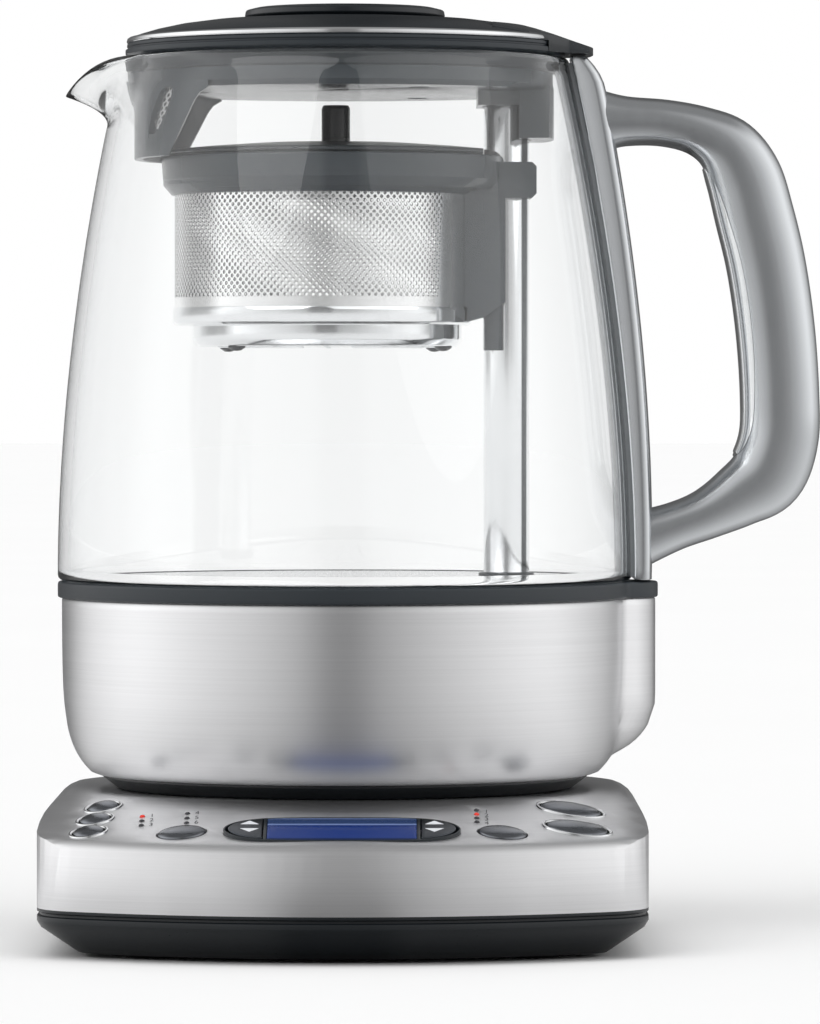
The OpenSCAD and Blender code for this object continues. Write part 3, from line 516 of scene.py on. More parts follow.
def rounded(corners: Sequence[Point3], steps: int = 5, closed: bool = True) -> list[Point2]:
    """Rounds the corners of an outline.

    Args:
        corners: Corner points, each with the radius of its rounding.
        steps: Steps in each rounding.
        closed: Whether the outline closes on itself.

    Returns:
        The points of the rounded outline.
    """
    result: list[Point2] = []
    count = len(corners)
    for i, (x, y, radius) in enumerate(corners):
        here = Vector((x, y))
        if radius <= 0 or (not closed and i in (0, count - 1)):
            result.append((x, y))
            continue
        before = Vector(corners[i - 1][:2]) - here
        after = Vector(corners[(i + 1) % count][:2]) - here
        reach = min(before.length, after.length) * 0.49
        half = before.angle(after) / 2
        cut = min(radius / math.tan(half), reach)
        first, last = here + before.normalized() * cut, here + after.normalized() * cut
        for s in range(steps + 1):
            t = s / steps
            point = first * (1 - t) ** 2 + here * 2 * t * (1 - t) + last * t * t
            result.append((point.x, point.y))
    return result


def oval(half: Point2, count: int = 48) -> list[Point2]:
    """Points of an ellipse with the given half axes."""
    turns = [2 * math.pi * i / count for i in range(count)]
    return [(half[0] * math.cos(a), half[1] * math.sin(a)) for a in turns]


def long_oval(half: Point2, start: float = -1.0, end: float = 1.0, count: int = 40) -> list[Point2]:
    """Outline of a flat oval that stays wide for most of its length and narrows to rounded ends.

    Args:
        half: Half length and half height of the whole oval.
        start: Where the outline starts, as a share of the half length.
        end: Where it ends.
        count: Steps along each side.

    Returns:
        The points, running round anticlockwise.
    """
    first, last = math.acos(-start), math.acos(-end)
    turns = [first + (last - first) * i / count for i in range(count + 1)]
    places = [-math.cos(a) for a in turns]
    rises = [half[1] * max(0.0, 1.0 - abs(t) ** 4.5) ** 0.55 for t in places]
    lower = [(half[0] * t, -rise) for t, rise in zip(places, rises)]
    upper = [(x, -y) for x, y in reversed(lower)]
    if start <= -1.0:
        upper = upper[:-1]
    if end >= 1.0:
        upper = upper[1:]
    return lower + upper


def smooth_line(stations: Sequence[Sequence[float]], steps: int) -> list[list[float]]:
    """A smooth curve through stations of any number of values.

    Args:
        stations: The values to pass through.
        steps: Steps between two stations.

    Returns:
        The stations and the points between them.
    """
    last = len(stations) - 1
    line = []
    for i in range(last):
        a, b, c, d = (stations[k] for k in (max(i - 1, 0), i, i + 1, min(i + 2, last)))
        for s in range(steps):
            t = s / steps
            line.append([0.5 * (2 * q + (r - p) * t + (2 * p - 5 * q + 4 * r - u) * t * t
                                + (3 * q - p - 3 * r + u) * t ** 3) for p, q, r, u in zip(a, b, c, d)])
    line.append(list(stations[last]))
    return line


# ---- Meshes ----
class Form:
    """A mesh that is being shaped in millimetres and ends as one piece of the tea maker."""

    def __init__(self) -> None:
        """Starts empty."""
        self.bm = bmesh.new()
        self.finishes: list[Stuff] = []

    def lathe(self, section: Sequence[Point2], steps: int = 128, centre: Point2 = (0.0, 0.0),
              start: float = 0.0, sweep: float = 360.0) -> "Form":
        """Spins a section about an upright axis.

        Args:
            section: Points (radius, height). A section that starts and ends on the axis is left open.
            steps: Steps of the spin.
            centre: Place of the axis.
            start: Angle of the section, in degrees.
            sweep: Angle of the spin, in degrees.

        Returns:
            The form itself.
        """
        full = abs(sweep) >= 360.0
        turn = Matrix.Rotation(math.radians(start), 4, "Z")
        verts = [self.bm.verts.new(turn @ Vector((r, 0.0, z))) for r, z in section]
        edges = [self.bm.edges.new(pair) for pair in zip(verts, verts[1:])]
        on_axis = section[0][0] == 0.0 and section[-1][0] == 0.0
        if not on_axis or not full:
            edges.append(self.bm.edges.new((verts[-1], verts[0])))
        spun = bmesh.ops.spin(self.bm, geom=verts + edges, cent=(0, 0, 0), axis=(0, 0, 1), dvec=(0, 0, 0),
                              angle=math.radians(sweep), steps=steps, use_merge=full, use_duplicate=False)
        if not full:
            self.bm.faces.new(list(reversed(verts)))
            self.bm.faces.new([v for v in spun["geom_last"] if isinstance(v, bmesh.types.BMVert)])
        moved = self.merge()
        bmesh.ops.translate(self.bm, verts=moved, vec=(centre[0], centre[1], 0.0))
        return self

    def merge(self) -> list[bmesh.types.BMVert]:
        """Merges doubles, turns faces outwards and returns all vertices."""
        bmesh.ops.remove_doubles(self.bm, verts=self.bm.verts, dist=DOUBLE)
        bmesh.ops.recalc_face_normals(self.bm, faces=self.bm.faces)
        return list(self.bm.verts)

    def prism(self, outline: Sequence[Point2], low: float, high: float, bevel: float = 0.0,
              steps: int = 3, hole: Sequence[Point2] | None = None) -> "Form":
        """Raises an outline into a solid and rounds its upper and lower edges.

        Args:
            outline: Outer outline.
            low: Lower height.
            high: Upper height.
            bevel: Width of the rounding.
            steps: Segments of the rounding.
            hole: Outline of a hole with any number of points.

        Returns:
            The form itself.
        """
        loops = []
        for path in ([outline] if hole is None else [outline, hole]):
            verts = [self.bm.verts.new((x, y, low)) for x, y in path]
            loops += [self.bm.edges.new(pair) for pair in zip(verts, verts[1:] + verts[:1])]
        if hole is None:
            faces = bmesh.ops.contextual_create(self.bm, geom=loops)["faces"]
        else:
            faces = [g for g in bmesh.ops.triangle_fill(self.bm, edges=loops, use_beauty=True)["geom"]
                     if isinstance(g, bmesh.types.BMFace)]
        raised = bmesh.ops.extrude_face_region(self.bm, geom=faces, use_keep_orig=True)["geom"]
        bmesh.ops.translate(self.bm, verts=[g for g in raised if isinstance(g, bmesh.types.BMVert)],
                            vec=(0.0, 0.0, high - low))
        bmesh.ops.recalc_face_normals(self.bm, faces=self.bm.faces)
        if bevel > 0.0:
            self.round_edges(bevel, steps, 40.0)
        return self

    def rings(self, rings: Sequence[Sequence[Point3]], caps: bool = True) -> "Form":
        """Bridges closed rings of equal point counts into a skin.

        Args:
            rings: The rings in order.
            caps: Whether both ends are closed.

        Returns:
            The form itself.
        """
        loops = []
        for ring in rings:
            verts = [self.bm.verts.new(p) for p in ring]
            loops.append([self.bm.edges.new(pair) for pair in zip(verts, verts[1:] + verts[:1])])
        for first, second in zip(loops, loops[1:]):
            bmesh.ops.bridge_loops(self.bm, edges=first + second)
        if caps:
            for loop in (loops[0], loops[-1]):
                bmesh.ops.contextual_create(self.bm, geom=loop)
        bmesh.ops.recalc_face_normals(self.bm, faces=self.bm.faces)
        return self

    def ball(self, radii: Point3, steps: int) -> "Form":
        """Adds an ellipsoid round the origin."""
        made = bmesh.ops.create_uvsphere(self.bm, u_segments=steps, v_segments=steps // 2, radius=1.0)
        bmesh.ops.scale(self.bm, verts=made["verts"], vec=radii)
        return self

    def round_edges(self, width: float, steps: int, angle: float) -> "Form":
        """Rounds every edge that is sharper than an angle in degrees."""
        limit = math.radians(angle)
        sharp = [e for e in self.bm.edges if len(e.link_faces) == 2 and e.calc_face_angle(0.0) > limit]
        bmesh.ops.bevel(self.bm, geom=sharp, offset=width, offset_type="OFFSET", segments=steps, profile=0.5,
                        affect="EDGES", clamp_overlap=True, material=-1)
        return self

    def warp(self, rule: Callable[[Vector], Vector]) -> "Form":
        """Moves every vertex by a rule."""
        for vert in self.bm.verts:
            vert.co = rule(vert.co.copy())
        return self

    def turn(self, matrix: Matrix) -> "Form":
        """Turns and moves the whole form."""
        bmesh.ops.transform(self.bm, matrix=matrix, verts=self.bm.verts)
        return self

    def join(self, other: "Form") -> "Form":
        """Takes in another form, as a loose part of the same piece."""
        held = bpy.data.meshes.new("held")
        other.bm.to_mesh(held)
        other.bm.free()
        self.bm.from_mesh(held)
        bpy.data.meshes.remove(held)
        return self

    def piece(self, name: str, stuff: Stuff, body: str, slot: str, replaces: Sequence[str] = (),
              sharp: float = 38.0) -> bpy.types.Object:
        """Ends the form as a piece of the tea maker.

        Args:
            name: Name of the piece.
            stuff: Its finish.
            body: The body it rides on.
            slot: Not used.
            replaces: CAD nodes that it stands for.
            sharp: Angle in degrees above which an edge is shaded sharp.

        Returns:
            The new object.
        """
        bmesh.ops.scale(self.bm, verts=self.bm.verts, vec=(MM, MM, MM))
        for face in self.bm.faces:
            face.smooth = True
        mesh = bpy.data.meshes.new(name)
        self.bm.to_mesh(mesh)
        self.bm.free()
        mesh.set_sharp_from_angle(angle=math.radians(sharp))
        made = bpy.data.objects.new(name, mesh)
        bpy.context.scene.collection.objects.link(made)
        mesh.materials.append(stuff.value.material())
        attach(made, body)
        if replaces:
            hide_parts(*replaces)
        LOG.info("%s: %d faces", name, len(mesh.polygons))
        return made


def dress(node: str, stuff: Stuff, edge: float = 0.0, sharp: float = 30.0) -> bpy.types.Object:
    """Gives a carried-over CAD node its finish and softer edges.

    Args:
        node: Name of the node.
        stuff: Its finish.
        edge: Width of the edge rounding, in millimetres.
        sharp: Angle in degrees above which an edge counts as one.

    Returns:
        The node's object.
    """
    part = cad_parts[node]
    part.data.materials.clear()
    part.data.materials.append(stuff.value.material())
    for face in part.data.polygons:
        face.use_smooth = True
        face.material_index = 0
    weld = part.modifiers.new("Weld", "WELD")
    weld.merge_threshold = 1e-6
    if edge > 0.0:
        soft = part.modifiers.new("Soft edges", "BEVEL")
        soft.width = edge * MM
        soft.segments = 3
        soft.limit_method = "ANGLE"
        soft.angle_limit = math.radians(sharp)
        soft.use_clamp_overlap = True
    split = part.modifiers.new("Shading", "EDGE_SPLIT")
    split.split_angle = math.radians(sharp)
    LOG.info("%s: CAD node", node)
    return part


# ---- The jug ----
@dataclass
class Glass:
    """The glass jug with its pulled spout."""

    radius: float = 78.6
    wall: float = 2.9
    low: float = 98.0
    rim: float = 240.5
    draw: float = 17.6
    draw_start: float = 100.0
    draw_power: float = 1.85
    spout_low: float = 221.0
    spout_reach: float = 16.2
    spout_drop: float = 10.2
    spout_reach_power: float = 2.1
    spout_drop_power: float = 2.4
    spout_half_angle: float = 27.0
    bead: float = 0.4
    bead_height: float = 1.8
    wall_steps: int = 96

    def at(self, z: float) -> float:
        """Outer radius at height z."""
        span = max(0.0, z - self.draw_start) / (self.rim - self.draw_start)
        return self.radius - self.draw * span ** self.draw_power

    def section(self) -> list[Point2]:
        """Closed wall section with a beaded rim and a rounded foot.

        Returns:
            Points (radius, height).
        """
        half = self.wall / 2
        round_r = half + self.bead / 2
        start, end = self.low + half, self.rim - round_r
        heights = [start + (end - start) * i / self.wall_steps for i in range(self.wall_steps + 1)]
        outer = [(self.at(z), z) for z in heights]
        beads = [self.bead * math.exp(-((end - z) / self.bead_height) ** 2) for z in heights]
        inner = [(self.at(z) - self.wall - bead, z) for z, bead in zip(heights, beads)]
        top = arc((self.at(end) - round_r, end), round_r, 0.0, 180.0, 12)[1:-1]
        foot = arc((self.at(self.low) - half, self.low + half), half, 180.0, 360.0, 6)[1:-1]
        return outer + top + inner[::-1] + foot

    def pull_spout(self, point: Vector) -> Vector:
        """Draws the rim out into the spout, towards -X.

        Args:
            point: A point of the round glass.

        Returns:
            Its place on the glass with the spout.
        """
        angle = math.atan2(point.y, -point.x)
        reach = math.radians(self.spout_half_angle)
        if point.z <= self.spout_low or abs(angle) >= reach:
            return point
        share = math.cos(0.5 * math.pi * angle / reach) ** 2
        climb = (point.z - self.spout_low) / (self.rim - self.spout_low)
        point.z = point.z - climb * self.spout_drop * share ** self.spout_drop_power
        out = self.spout_reach * share * climb ** self.spout_reach_power
        point.x -= out * math.cos(angle)
        point.y += out * math.sin(angle)
        return point

    def build(self) -> None:
        """Makes the jug's glass."""
        form = Form().lathe(self.section(), 224)
        form.warp(self.pull_spout).piece("jug_glass", Stuff.GLASS, "jug", "clear_glass", ["glass_jug"], 60.0)


@dataclass
class Skirt:
    """The brushed steel skirt, with a bulge under the handle that houses the lift drive."""

    low: float = 45.2
    high: float = 93.25
    radius: float = 77.5
    draw: float = 7.9
    curve: float = 7.5
    wall: float = 1.1
    foot: float = 0.6
    bend_step: float = 1.4
    straight_low: float = 64.0
    straight_step: float = 3.0
    bulge_x: float = 66.0
    bulge_r: float = 19.0
    bulge_low: float = 49.0
    bulge_full: float = 66.0
    blend: float = 1.6

    def at(self, z: float) -> float:
        """Outer radius at height z."""
        return self.radius - self.draw * math.exp((self.low + self.foot - z) / self.curve)

    def bulge_at(self, z: float) -> float:
        """Radius of the bulge at height z."""
        if z >= self.bulge_full:
            return self.bulge_r
        share = max(0.0, (z - self.bulge_low) / (self.bulge_full - self.bulge_low))
        return self.bulge_r * math.sqrt(max(0.0, 1.0 - (1.0 - share) ** 2))

    def swell(self, point: Vector) -> Vector:
        """Moves a point of the round skirt out to the bulge.

        Args:
            point: A point of the round skirt.

        Returns:
            Its place on the skirt with the bulge.
        """
        angle = math.atan2(point.y, point.x)
        round_r = self.at(point.z)
        bulge = self.bulge_at(point.z)
        side = self.bulge_x * math.sin(angle)
        if abs(side) >= bulge or math.cos(angle) < 0.0:
            return point
        reach = self.bulge_x * math.cos(angle) + math.sqrt(bulge * bulge - side * side)
        h = min(1.0, max(0.0, 0.5 + 0.5 * (reach - round_r) / self.blend))
        grown = round_r * (1 - h) + reach * h + self.blend * h * (1 - h)
        scale = 1.0 + max(0.0, grown - round_r) / math.hypot(point.x, point.y)
        return Vector((point.x * scale, point.y * scale, point.z))

    def build(self) -> None:
        """Makes the skirt."""
        heights = [self.low + self.foot + self.bend_step * i for i in range(10)]
        heights += [self.straight_low + self.straight_step * i for i in range(10)]
        outer = [(self.at(z), z) for z in heights] + [(self.radius - 0.05, self.high - 0.4)]
        outer += [(self.radius - 0.4, self.high)]
        inner = [(r - self.wall, z - 0.4) for r, z in outer[::-1]]
        foot = [(self.at(self.low + self.foot) - 1.6, self.low)]
        Form().lathe(outer + inner + foot, 288).warp(self.swell).piece(
            "skirt", Stuff.SKIRT_STEEL, "jug", "brushed_steel", ["jug_skirt"], 50.0)


@dataclass
class SealRing:
    """The dark seal between skirt and glass, which follows the bulge."""

    low: float = 93.3
    high: float = 97.7
    radius: float = 78.6
    lip: float = 75.4
    inner: float = 72.3
    floor: float = 98.9
    bulge_x: float = 66.0
    bulge_r: float = 19.7

    def swell(self, point: Vector) -> Vector:
        """Moves the outer wall out to the bulge.

        Args:
            point: A point of the round seal.

        Returns:
            Its place on the seal with the bulge.
        """
        radius = math.hypot(point.x, point.y)
        angle = math.atan2(point.y, point.x)
        side = self.bulge_x * math.sin(angle)
        if radius < self.lip + 0.5 or abs(side) >= self.bulge_r or math.cos(angle) < 0.0:
            return point
        reach = self.bulge_x * math.cos(angle) + math.sqrt(self.bulge_r ** 2 - side * side)
        grown = max(radius, reach - (self.radius - radius))
        return Vector((point.x * grown / radius, point.y * grown / radius, point.z))

    def build(self) -> None:
        """Makes the seal."""
        section = rounded([
            (self.inner, self.low, 0.2), (self.radius, self.low, 0.7), (self.radius, self.high, 0.9),
            (self.lip, self.high, 0.1), (self.lip, self.floor, 0.3), (self.inner, self.floor, 0.3)])
        Form().lathe(section, 256).warp(self.swell).piece(
            "glass_seal", Stuff.SEAL_RUBBER, "jug", "seal_rubber", ["jug_seal"])


@dataclass
class JugBottom:
    """The floor of the jug, the black cap under it and the round connector."""

    cap: list[Point3] = field(default_factory=lambda: [
        (17.3, 43.3, 0.3), (54.0, 43.3, 0.5), (56.0, 41.3, 0.5), (62.2, 41.3, 0.8), (66.7, 44.7, 0.8),
        (65.9, 46.6, 0.2), (60.0, 46.6, 0.2), (58.0, 45.3, 0.2), (19.5, 45.3, 0.4), (19.5, 56.0, 0.4),
        (17.3, 56.0, 0.4)])

    def build(self) -> None:
        """Makes the cap and dresses the hidden pieces."""
        Form().lathe(rounded(self.cap, 4), 160).piece(
            "bottom_cap", Stuff.BLACK_PLASTIC, "jug", "black_plastic", ["jug_bottom_cap"])
        dress("heater_plate", Stuff.FLOOR_STEEL, 0.25)
        dress("heat_spreader", Stuff.CAST_METAL, 0.3)
        dress("heating_element", Stuff.ELEMENT)
        dress("thermal_cutouts", Stuff.DARK_PLASTIC, 0.3)
        dress("jug_connector", Stuff.CREAM_PLASTIC, 0.3)


@dataclass
class Post:
    """The hollow post with the belt drive inside."""

    x: float = 44.2
    radius: float = 6.2
    half: float = 2.0
    low: float = 93.2
    high: float = 229.3
    seal_width: float = 1.4
    seal_low: float = 98.7
    seal_high: float = 100.0
    seal_gap: float = 0.02

    def outline(self, grow: float) -> list[Point2]:
        """Round-ended outline of the post, grown by grow."""
        r = self.radius + grow
        return arc((self.x, self.half), r, 0.0, 180.0, 20) + arc((self.x, -self.half), r, 180.0, 360.0, 20)

    def build(self) -> None:
        """Makes the tube and its foot seal, and dresses the drive."""
        Form().prism(self.outline(0.0), self.low, self.high, 0.9, 4).piece(
            "post", Stuff.POST_STEEL, "jug", "polished_steel", ["post_tube"])
        foot = Form().prism(self.outline(self.seal_width), self.seal_low, self.seal_high, 0.5, 4,
                            self.outline(self.seal_gap))
        foot.piece("post_foot", Stuff.SEAL_RUBBER, "jug", "seal_rubber", ["post_seal"])
        dress("lift_gearmotor", Stuff.DARK_PLASTIC, 0.4)
        dress("lift_belt", Stuff.SEAL_RUBBER)
        for node in ("drive_pulley", "idler_pulley", "magnet_carriage"):
            dress(node, Stuff.CREAM_PLASTIC, 0.1)
        dress("carriage_magnets", Stuff.SCREW_STEEL, 0.1)


@dataclass
class Handle:
    """The grip, its bright inner trim and the strap that carries it on the glass."""

    glass: Glass
    half_width: float = 11.0
    softness: float = 0.72
    stations: list[Point3] = field(default_factory=lambda: [
        (70.0, 223.4, 8.6), (77.0, 223.4, 6.8), (87.5, 222.9, 6.4), (97.0, 220.7, 6.9), (104.5, 216.2, 8.8),
        (109.2, 208.5, 10.2), (112.2, 198.0, 10.6), (115.5, 184.0, 10.6), (118.0, 166.5, 10.6),
        (119.2, 149.0, 10.6), (118.9, 136.5, 10.7), (115.2, 126.6, 10.6), (107.6, 120.8, 8.7),
        (99.0, 116.0, 7.0), (90.5, 112.7, 6.6), (81.5, 109.5, 7.6)])
    strap_half_angle: float = 9.15
    strap_t: float = 5.4
    strap_grow: float = 0.0227
    strap_gap: float = 1.3
    strap_low: float = 98.0
    strap_high: float = 241.0
    strap_end: float = 0.2
    strap_steps: int = 60
    strap_bend_z: float = 232.0
    strap_bend: float = 3.6
    trim_from: float = 0.26
    trim_to: float = 0.76
    trim_half: float = 56.0
    trim_steps: int = 14
    trim_lip: float = 0.12
    trim_crown: float = 0.36

    def section(self, line: list[list[float]], i: int, angles: Iterable[float], grow: float) -> list[Point3]:
        """Points of the grip's rounded section.

        Args:
            line: The grip's line of (x, z, half thickness).
            i: Which point of the line.
            angles: Angles of the points in degrees; 180 faces the fingers.
            grow: How far the section is grown.

        Returns:
            The points.
        """
        x, z, half = line[i]
        ahead, behind = line[min(i + 1, len(line) - 1)], line[max(i - 1, 0)]
        way = Vector((ahead[0] - behind[0], ahead[1] - behind[1])).normalized()
        out = Vector((-way.y, way.x))

        def soft(value: float) -> float:
            """Squares the round section a little."""
            return math.copysign(abs(value) ** self.softness, value)

        result = []
        for a in angles:
            c, s = soft(math.cos(math.radians(a))), soft(math.sin(math.radians(a)))
            across = (self.half_width + grow) * s
            result.append((x + out.x * (half + grow) * c, across, z + out.y * (half + grow) * c))
        return result

    def strap_at(self, z: float) -> float:
        """Outer radius of the strap at height z."""
        full = self.glass.at(z) + self.strap_t + self.strap_grow * (z - self.strap_low)
        if z <= self.strap_bend_z:
            return full
        return full - self.strap_bend * ((z - self.strap_bend_z) / (self.strap_high - self.strap_bend_z)) ** 2

    def build_strap(self) -> None:
        """Makes the strap and dresses what joins it to the glass."""
        half = math.radians(self.strap_half_angle)
        rings = []
        length = self.strap_high - self.strap_low - 2 * self.strap_end
        for i in range(self.strap_steps + 1):
            z = self.strap_low + self.strap_end + length * i / self.strap_steps
            inner = self.glass.at(min(z, self.glass.rim)) + self.strap_gap
            outer = self.strap_at(z)
            depth = outer - inner
            width = half * (inner + outer) / 2
            crown = depth + 0.05
            corners = [(-width, 0.0, 0.6), (width, 0.0, 0.6), (width, depth, 2.4), (width * 0.5, crown, 8.0),
                       (-width * 0.5, crown, 8.0), (-width, depth, 2.4)]
            ring = []
            for s, d in rounded(corners, 5):
                angle = s / ((inner + outer) / 2)
                ring.append(((inner + d) * math.cos(angle), (inner + d) * math.sin(angle), z))
            rings.append(ring)
        Form().rings(rings).round_edges(0.7, 3, 60.0).piece(
            "handle_strap", Stuff.STRAP_STEEL, "jug", "polished_steel", ["handle_spine"])
        dress("spine_gasket", Stuff.GASKET_GREY)
        dress("handle_screws", Stuff.SCREW_STEEL)

    def build_grip(self) -> None:
        """Makes the grip and its trim."""
        line = smooth_line(self.stations, 7)
        round_angles = [360.0 * k / 56 for k in range(56)]
        grip = Form().rings([self.section(line, i, round_angles, 0.0) for i in range(len(line))])
        grip.piece("grip", Stuff.GRIP_METAL, "jug", "satin_metal", ["handle"])
        first, last = int(self.trim_from * len(line)), int(self.trim_to * len(line))
        trim_rings = []
        for i in range(first, last + 1):
            share = math.sin(math.pi * (i - first + 0.35) / (last - first + 0.7)) ** 0.45
            reach = self.trim_half * share
            steps = self.trim_steps
            angles = [180.0 - reach + 2 * reach * k / steps for k in range(steps + 1)]
            rises = [math.sin(math.pi * k / steps) ** 0.5 for k in range(steps + 1)]
            proud = [self.trim_lip + self.trim_crown * rise for rise in rises]
            upper = [self.section(line, i, [a], p)[0] for a, p in zip(angles, proud)]
            lower = self.section(line, i, reversed(angles), 0.02)
            trim_rings.append(upper + lower)
        Form().rings(trim_rings).piece(
            "grip_trim", Stuff.BRIGHT_TRIM, "jug", "polished_steel", ["handle_trim"], 50.0)

    def build(self) -> None:
        """Makes the whole handle."""
        self.build_strap()
        self.build_grip()


# ---- The lid ----
@dataclass
class Lid:
    """The lift-off lid with its grey body, spout shield and filter."""

    rim_r: float = 60.0
    gasket_in: float = 57.0
    knob_r: float = 27.4
    window_angle: float = 32.0
    window_half: Point2 = (3.6, 6.2)
    window_lean: float = 0.72
    window_z: float = 224.8
    shield_r: float = 56.5

    def build_gasket(self) -> None:
        """Makes the dark sealing ring with its groove."""
        section = rounded([
            (self.gasket_in, 236.0, 0.1), (57.6, 236.6, 0.3), (57.6, 240.8, 0.1), (59.3, 240.8, 0.5),
            (self.rim_r, 241.5, 0.3), (self.rim_r, 242.7, 0.2), (59.35, 242.9, 0.05), (59.35, 243.3, 0.05),
            (59.6, 243.5, 0.2), (59.5, 244.3, 0.1), (self.gasket_in, 244.3, 0.1)], 4)
        Form().lathe(section, 192).piece(
            "lid_seal", Stuff.SEAL_RUBBER, "lid", "seal_rubber", ["lid_gasket"])

    def build_knob(self) -> None:
        """Makes the finger disc."""
        r = self.knob_r
        section = [(0.0, 250.9), (20.0, 250.9), (r - 1.4, 251.0)] + rounded(
            [(r - 1.2, 251.0, 0.1), (r, 252.0, 0.7), (r - 0.3, 253.6, 0.8), (r - 3.2, 254.3, 3.0),
             (r - 12.0, 254.75, 5.0), (r - 20.0, 254.9, 5.0)], 6, closed=False) + [(0.0, 255.0)]
        Form().lathe(section, 128).piece("lid_disc", Stuff.LID_BLACK, "lid", "black_gloss", ["lid_knob"])

    def build_filter(self) -> None:
        """Makes the fine mesh in the shield's windows."""
        filters = Form()
        for side in (-1.0, 1.0):
            sheet = perforated_sheet(columns=4, rows=11, pitch=2.3, row_step=1.15, web=0.62, soft=0.2)
            spare = [f for f in sheet.bm.faces if self._outside(f.calc_center_median())]
            bmesh.ops.delete(sheet.bm, geom=spare, context="FACES")
            bmesh.ops.solidify(sheet.bm, geom=sheet.bm.faces, thickness=0.3)
            lean = Matrix.Shear("XZ", 4, (side * self.window_lean, 0.0))
            stand = Matrix(((0, 0, 1, 0), (1, 0, 0, 0), (0, 1, 0, self.window_z), (0, 0, 0, 1)))
            sheet.turn(stand @ lean)
            sheet.warp(self._onto_shield)
            sheet.turn(Matrix.Rotation(math.radians(180.0 + side * self.window_angle), 4, "Z"))
            filters.join(sheet)
        filters.piece("spout_mesh", Stuff.SIEVE_STEEL, "lid", "fine_steel", ["spout_filter"])

    def _outside(self, centre: Vector) -> bool:
        """Whether a point of the flat mesh lies outside the window."""
        return abs(centre.x / self.window_half[0]) ** 3 + abs(centre.y / self.window_half[1]) ** 3 > 1.15

    def _onto_shield(self, point: Vector) -> Vector:
        """Rolls a flat sheet that stands on x = 0 onto the shield's wall."""
        angle = point.y / self.shield_r
        radius = self.shield_r + point.x
        return Vector((radius * math.cos(angle), radius * math.sin(angle), point.z))

    def build(self) -> None:
        """Makes the lid."""
        self.build_gasket()
        self.build_knob()
        self.build_filter()
        dress("lid_cover", Stuff.LID_BLACK, 0.35, 24.0)
        dress("lid_trim_ring", Stuff.BRIGHT_TRIM, 0.2)
        dress("lid_body", Stuff.GREY_PLASTIC, 0.35)
        dress("lid_screws", Stuff.SCREW_STEEL, 0.2)


def perforated_sheet(columns: int, rows: int, pitch: float, row_step: float, web: float,
                     skip: Callable[[int], bool] | None = None, soft: float = 0.0) -> Form:
    """A flat sheet in the XY plane with staggered holes between slanting webs.

    Args:
        columns: Holes in a row.
        rows: Rows of holes, every other one shifted by half a pitch.
        pitch: Distance of the holes in a row.
        row_step: Distance of the rows.
        web: Width of the metal between two holes.
        skip: Says which columns stay without holes.
        soft: How much of each hole's corners is cut off.

    Returns:
        The sheet, centred on the origin, before it gets a thickness.
    """
    form = Form()
    half_pitch, middle = pitch / 2, rows / 2
    grid: dict[tuple[int, int], bmesh.types.BMVert] = {}

    def corner(i: int, j: int) -> bmesh.types.BMVert:
        """The crossing of two webs at half pitch i and row step j."""
        if (i, j) not in grid:
            grid[(i, j)] = form.bm.verts.new(((i - columns) * half_pitch, (j - middle) * row_step, 0.0))
        return grid[(i, j)]

    holes = []
    for j in range(rows):
        for c in range(columns):
            i = 2 * c + j % 2
            face = form.bm.faces.new(
                (corner(i, j), corner(i + 1, j - 1), corner(i + 2, j), corner(i + 1, j + 1)))
            if skip is None or not skip(c):
                holes.append(face)
    form.bm.normal_update()
    bmesh.ops.inset_individual(form.bm, faces=holes, thickness=web / 2, use_even_offset=True)
    if soft > 0.0:
        tips = [v for face in holes for v in face.verts]
        bmesh.ops.bevel(form.bm, geom=tips, offset=soft, offset_type="OFFSET", segments=1, profile=0.5,
                        affect="VERTICES", clamp_overlap=True, material=-1)
        holes = [f for f in form.bm.faces if len(f.verts) == 8]
    bmesh.ops.delete(form.bm, geom=holes, context="FACES")
    return form


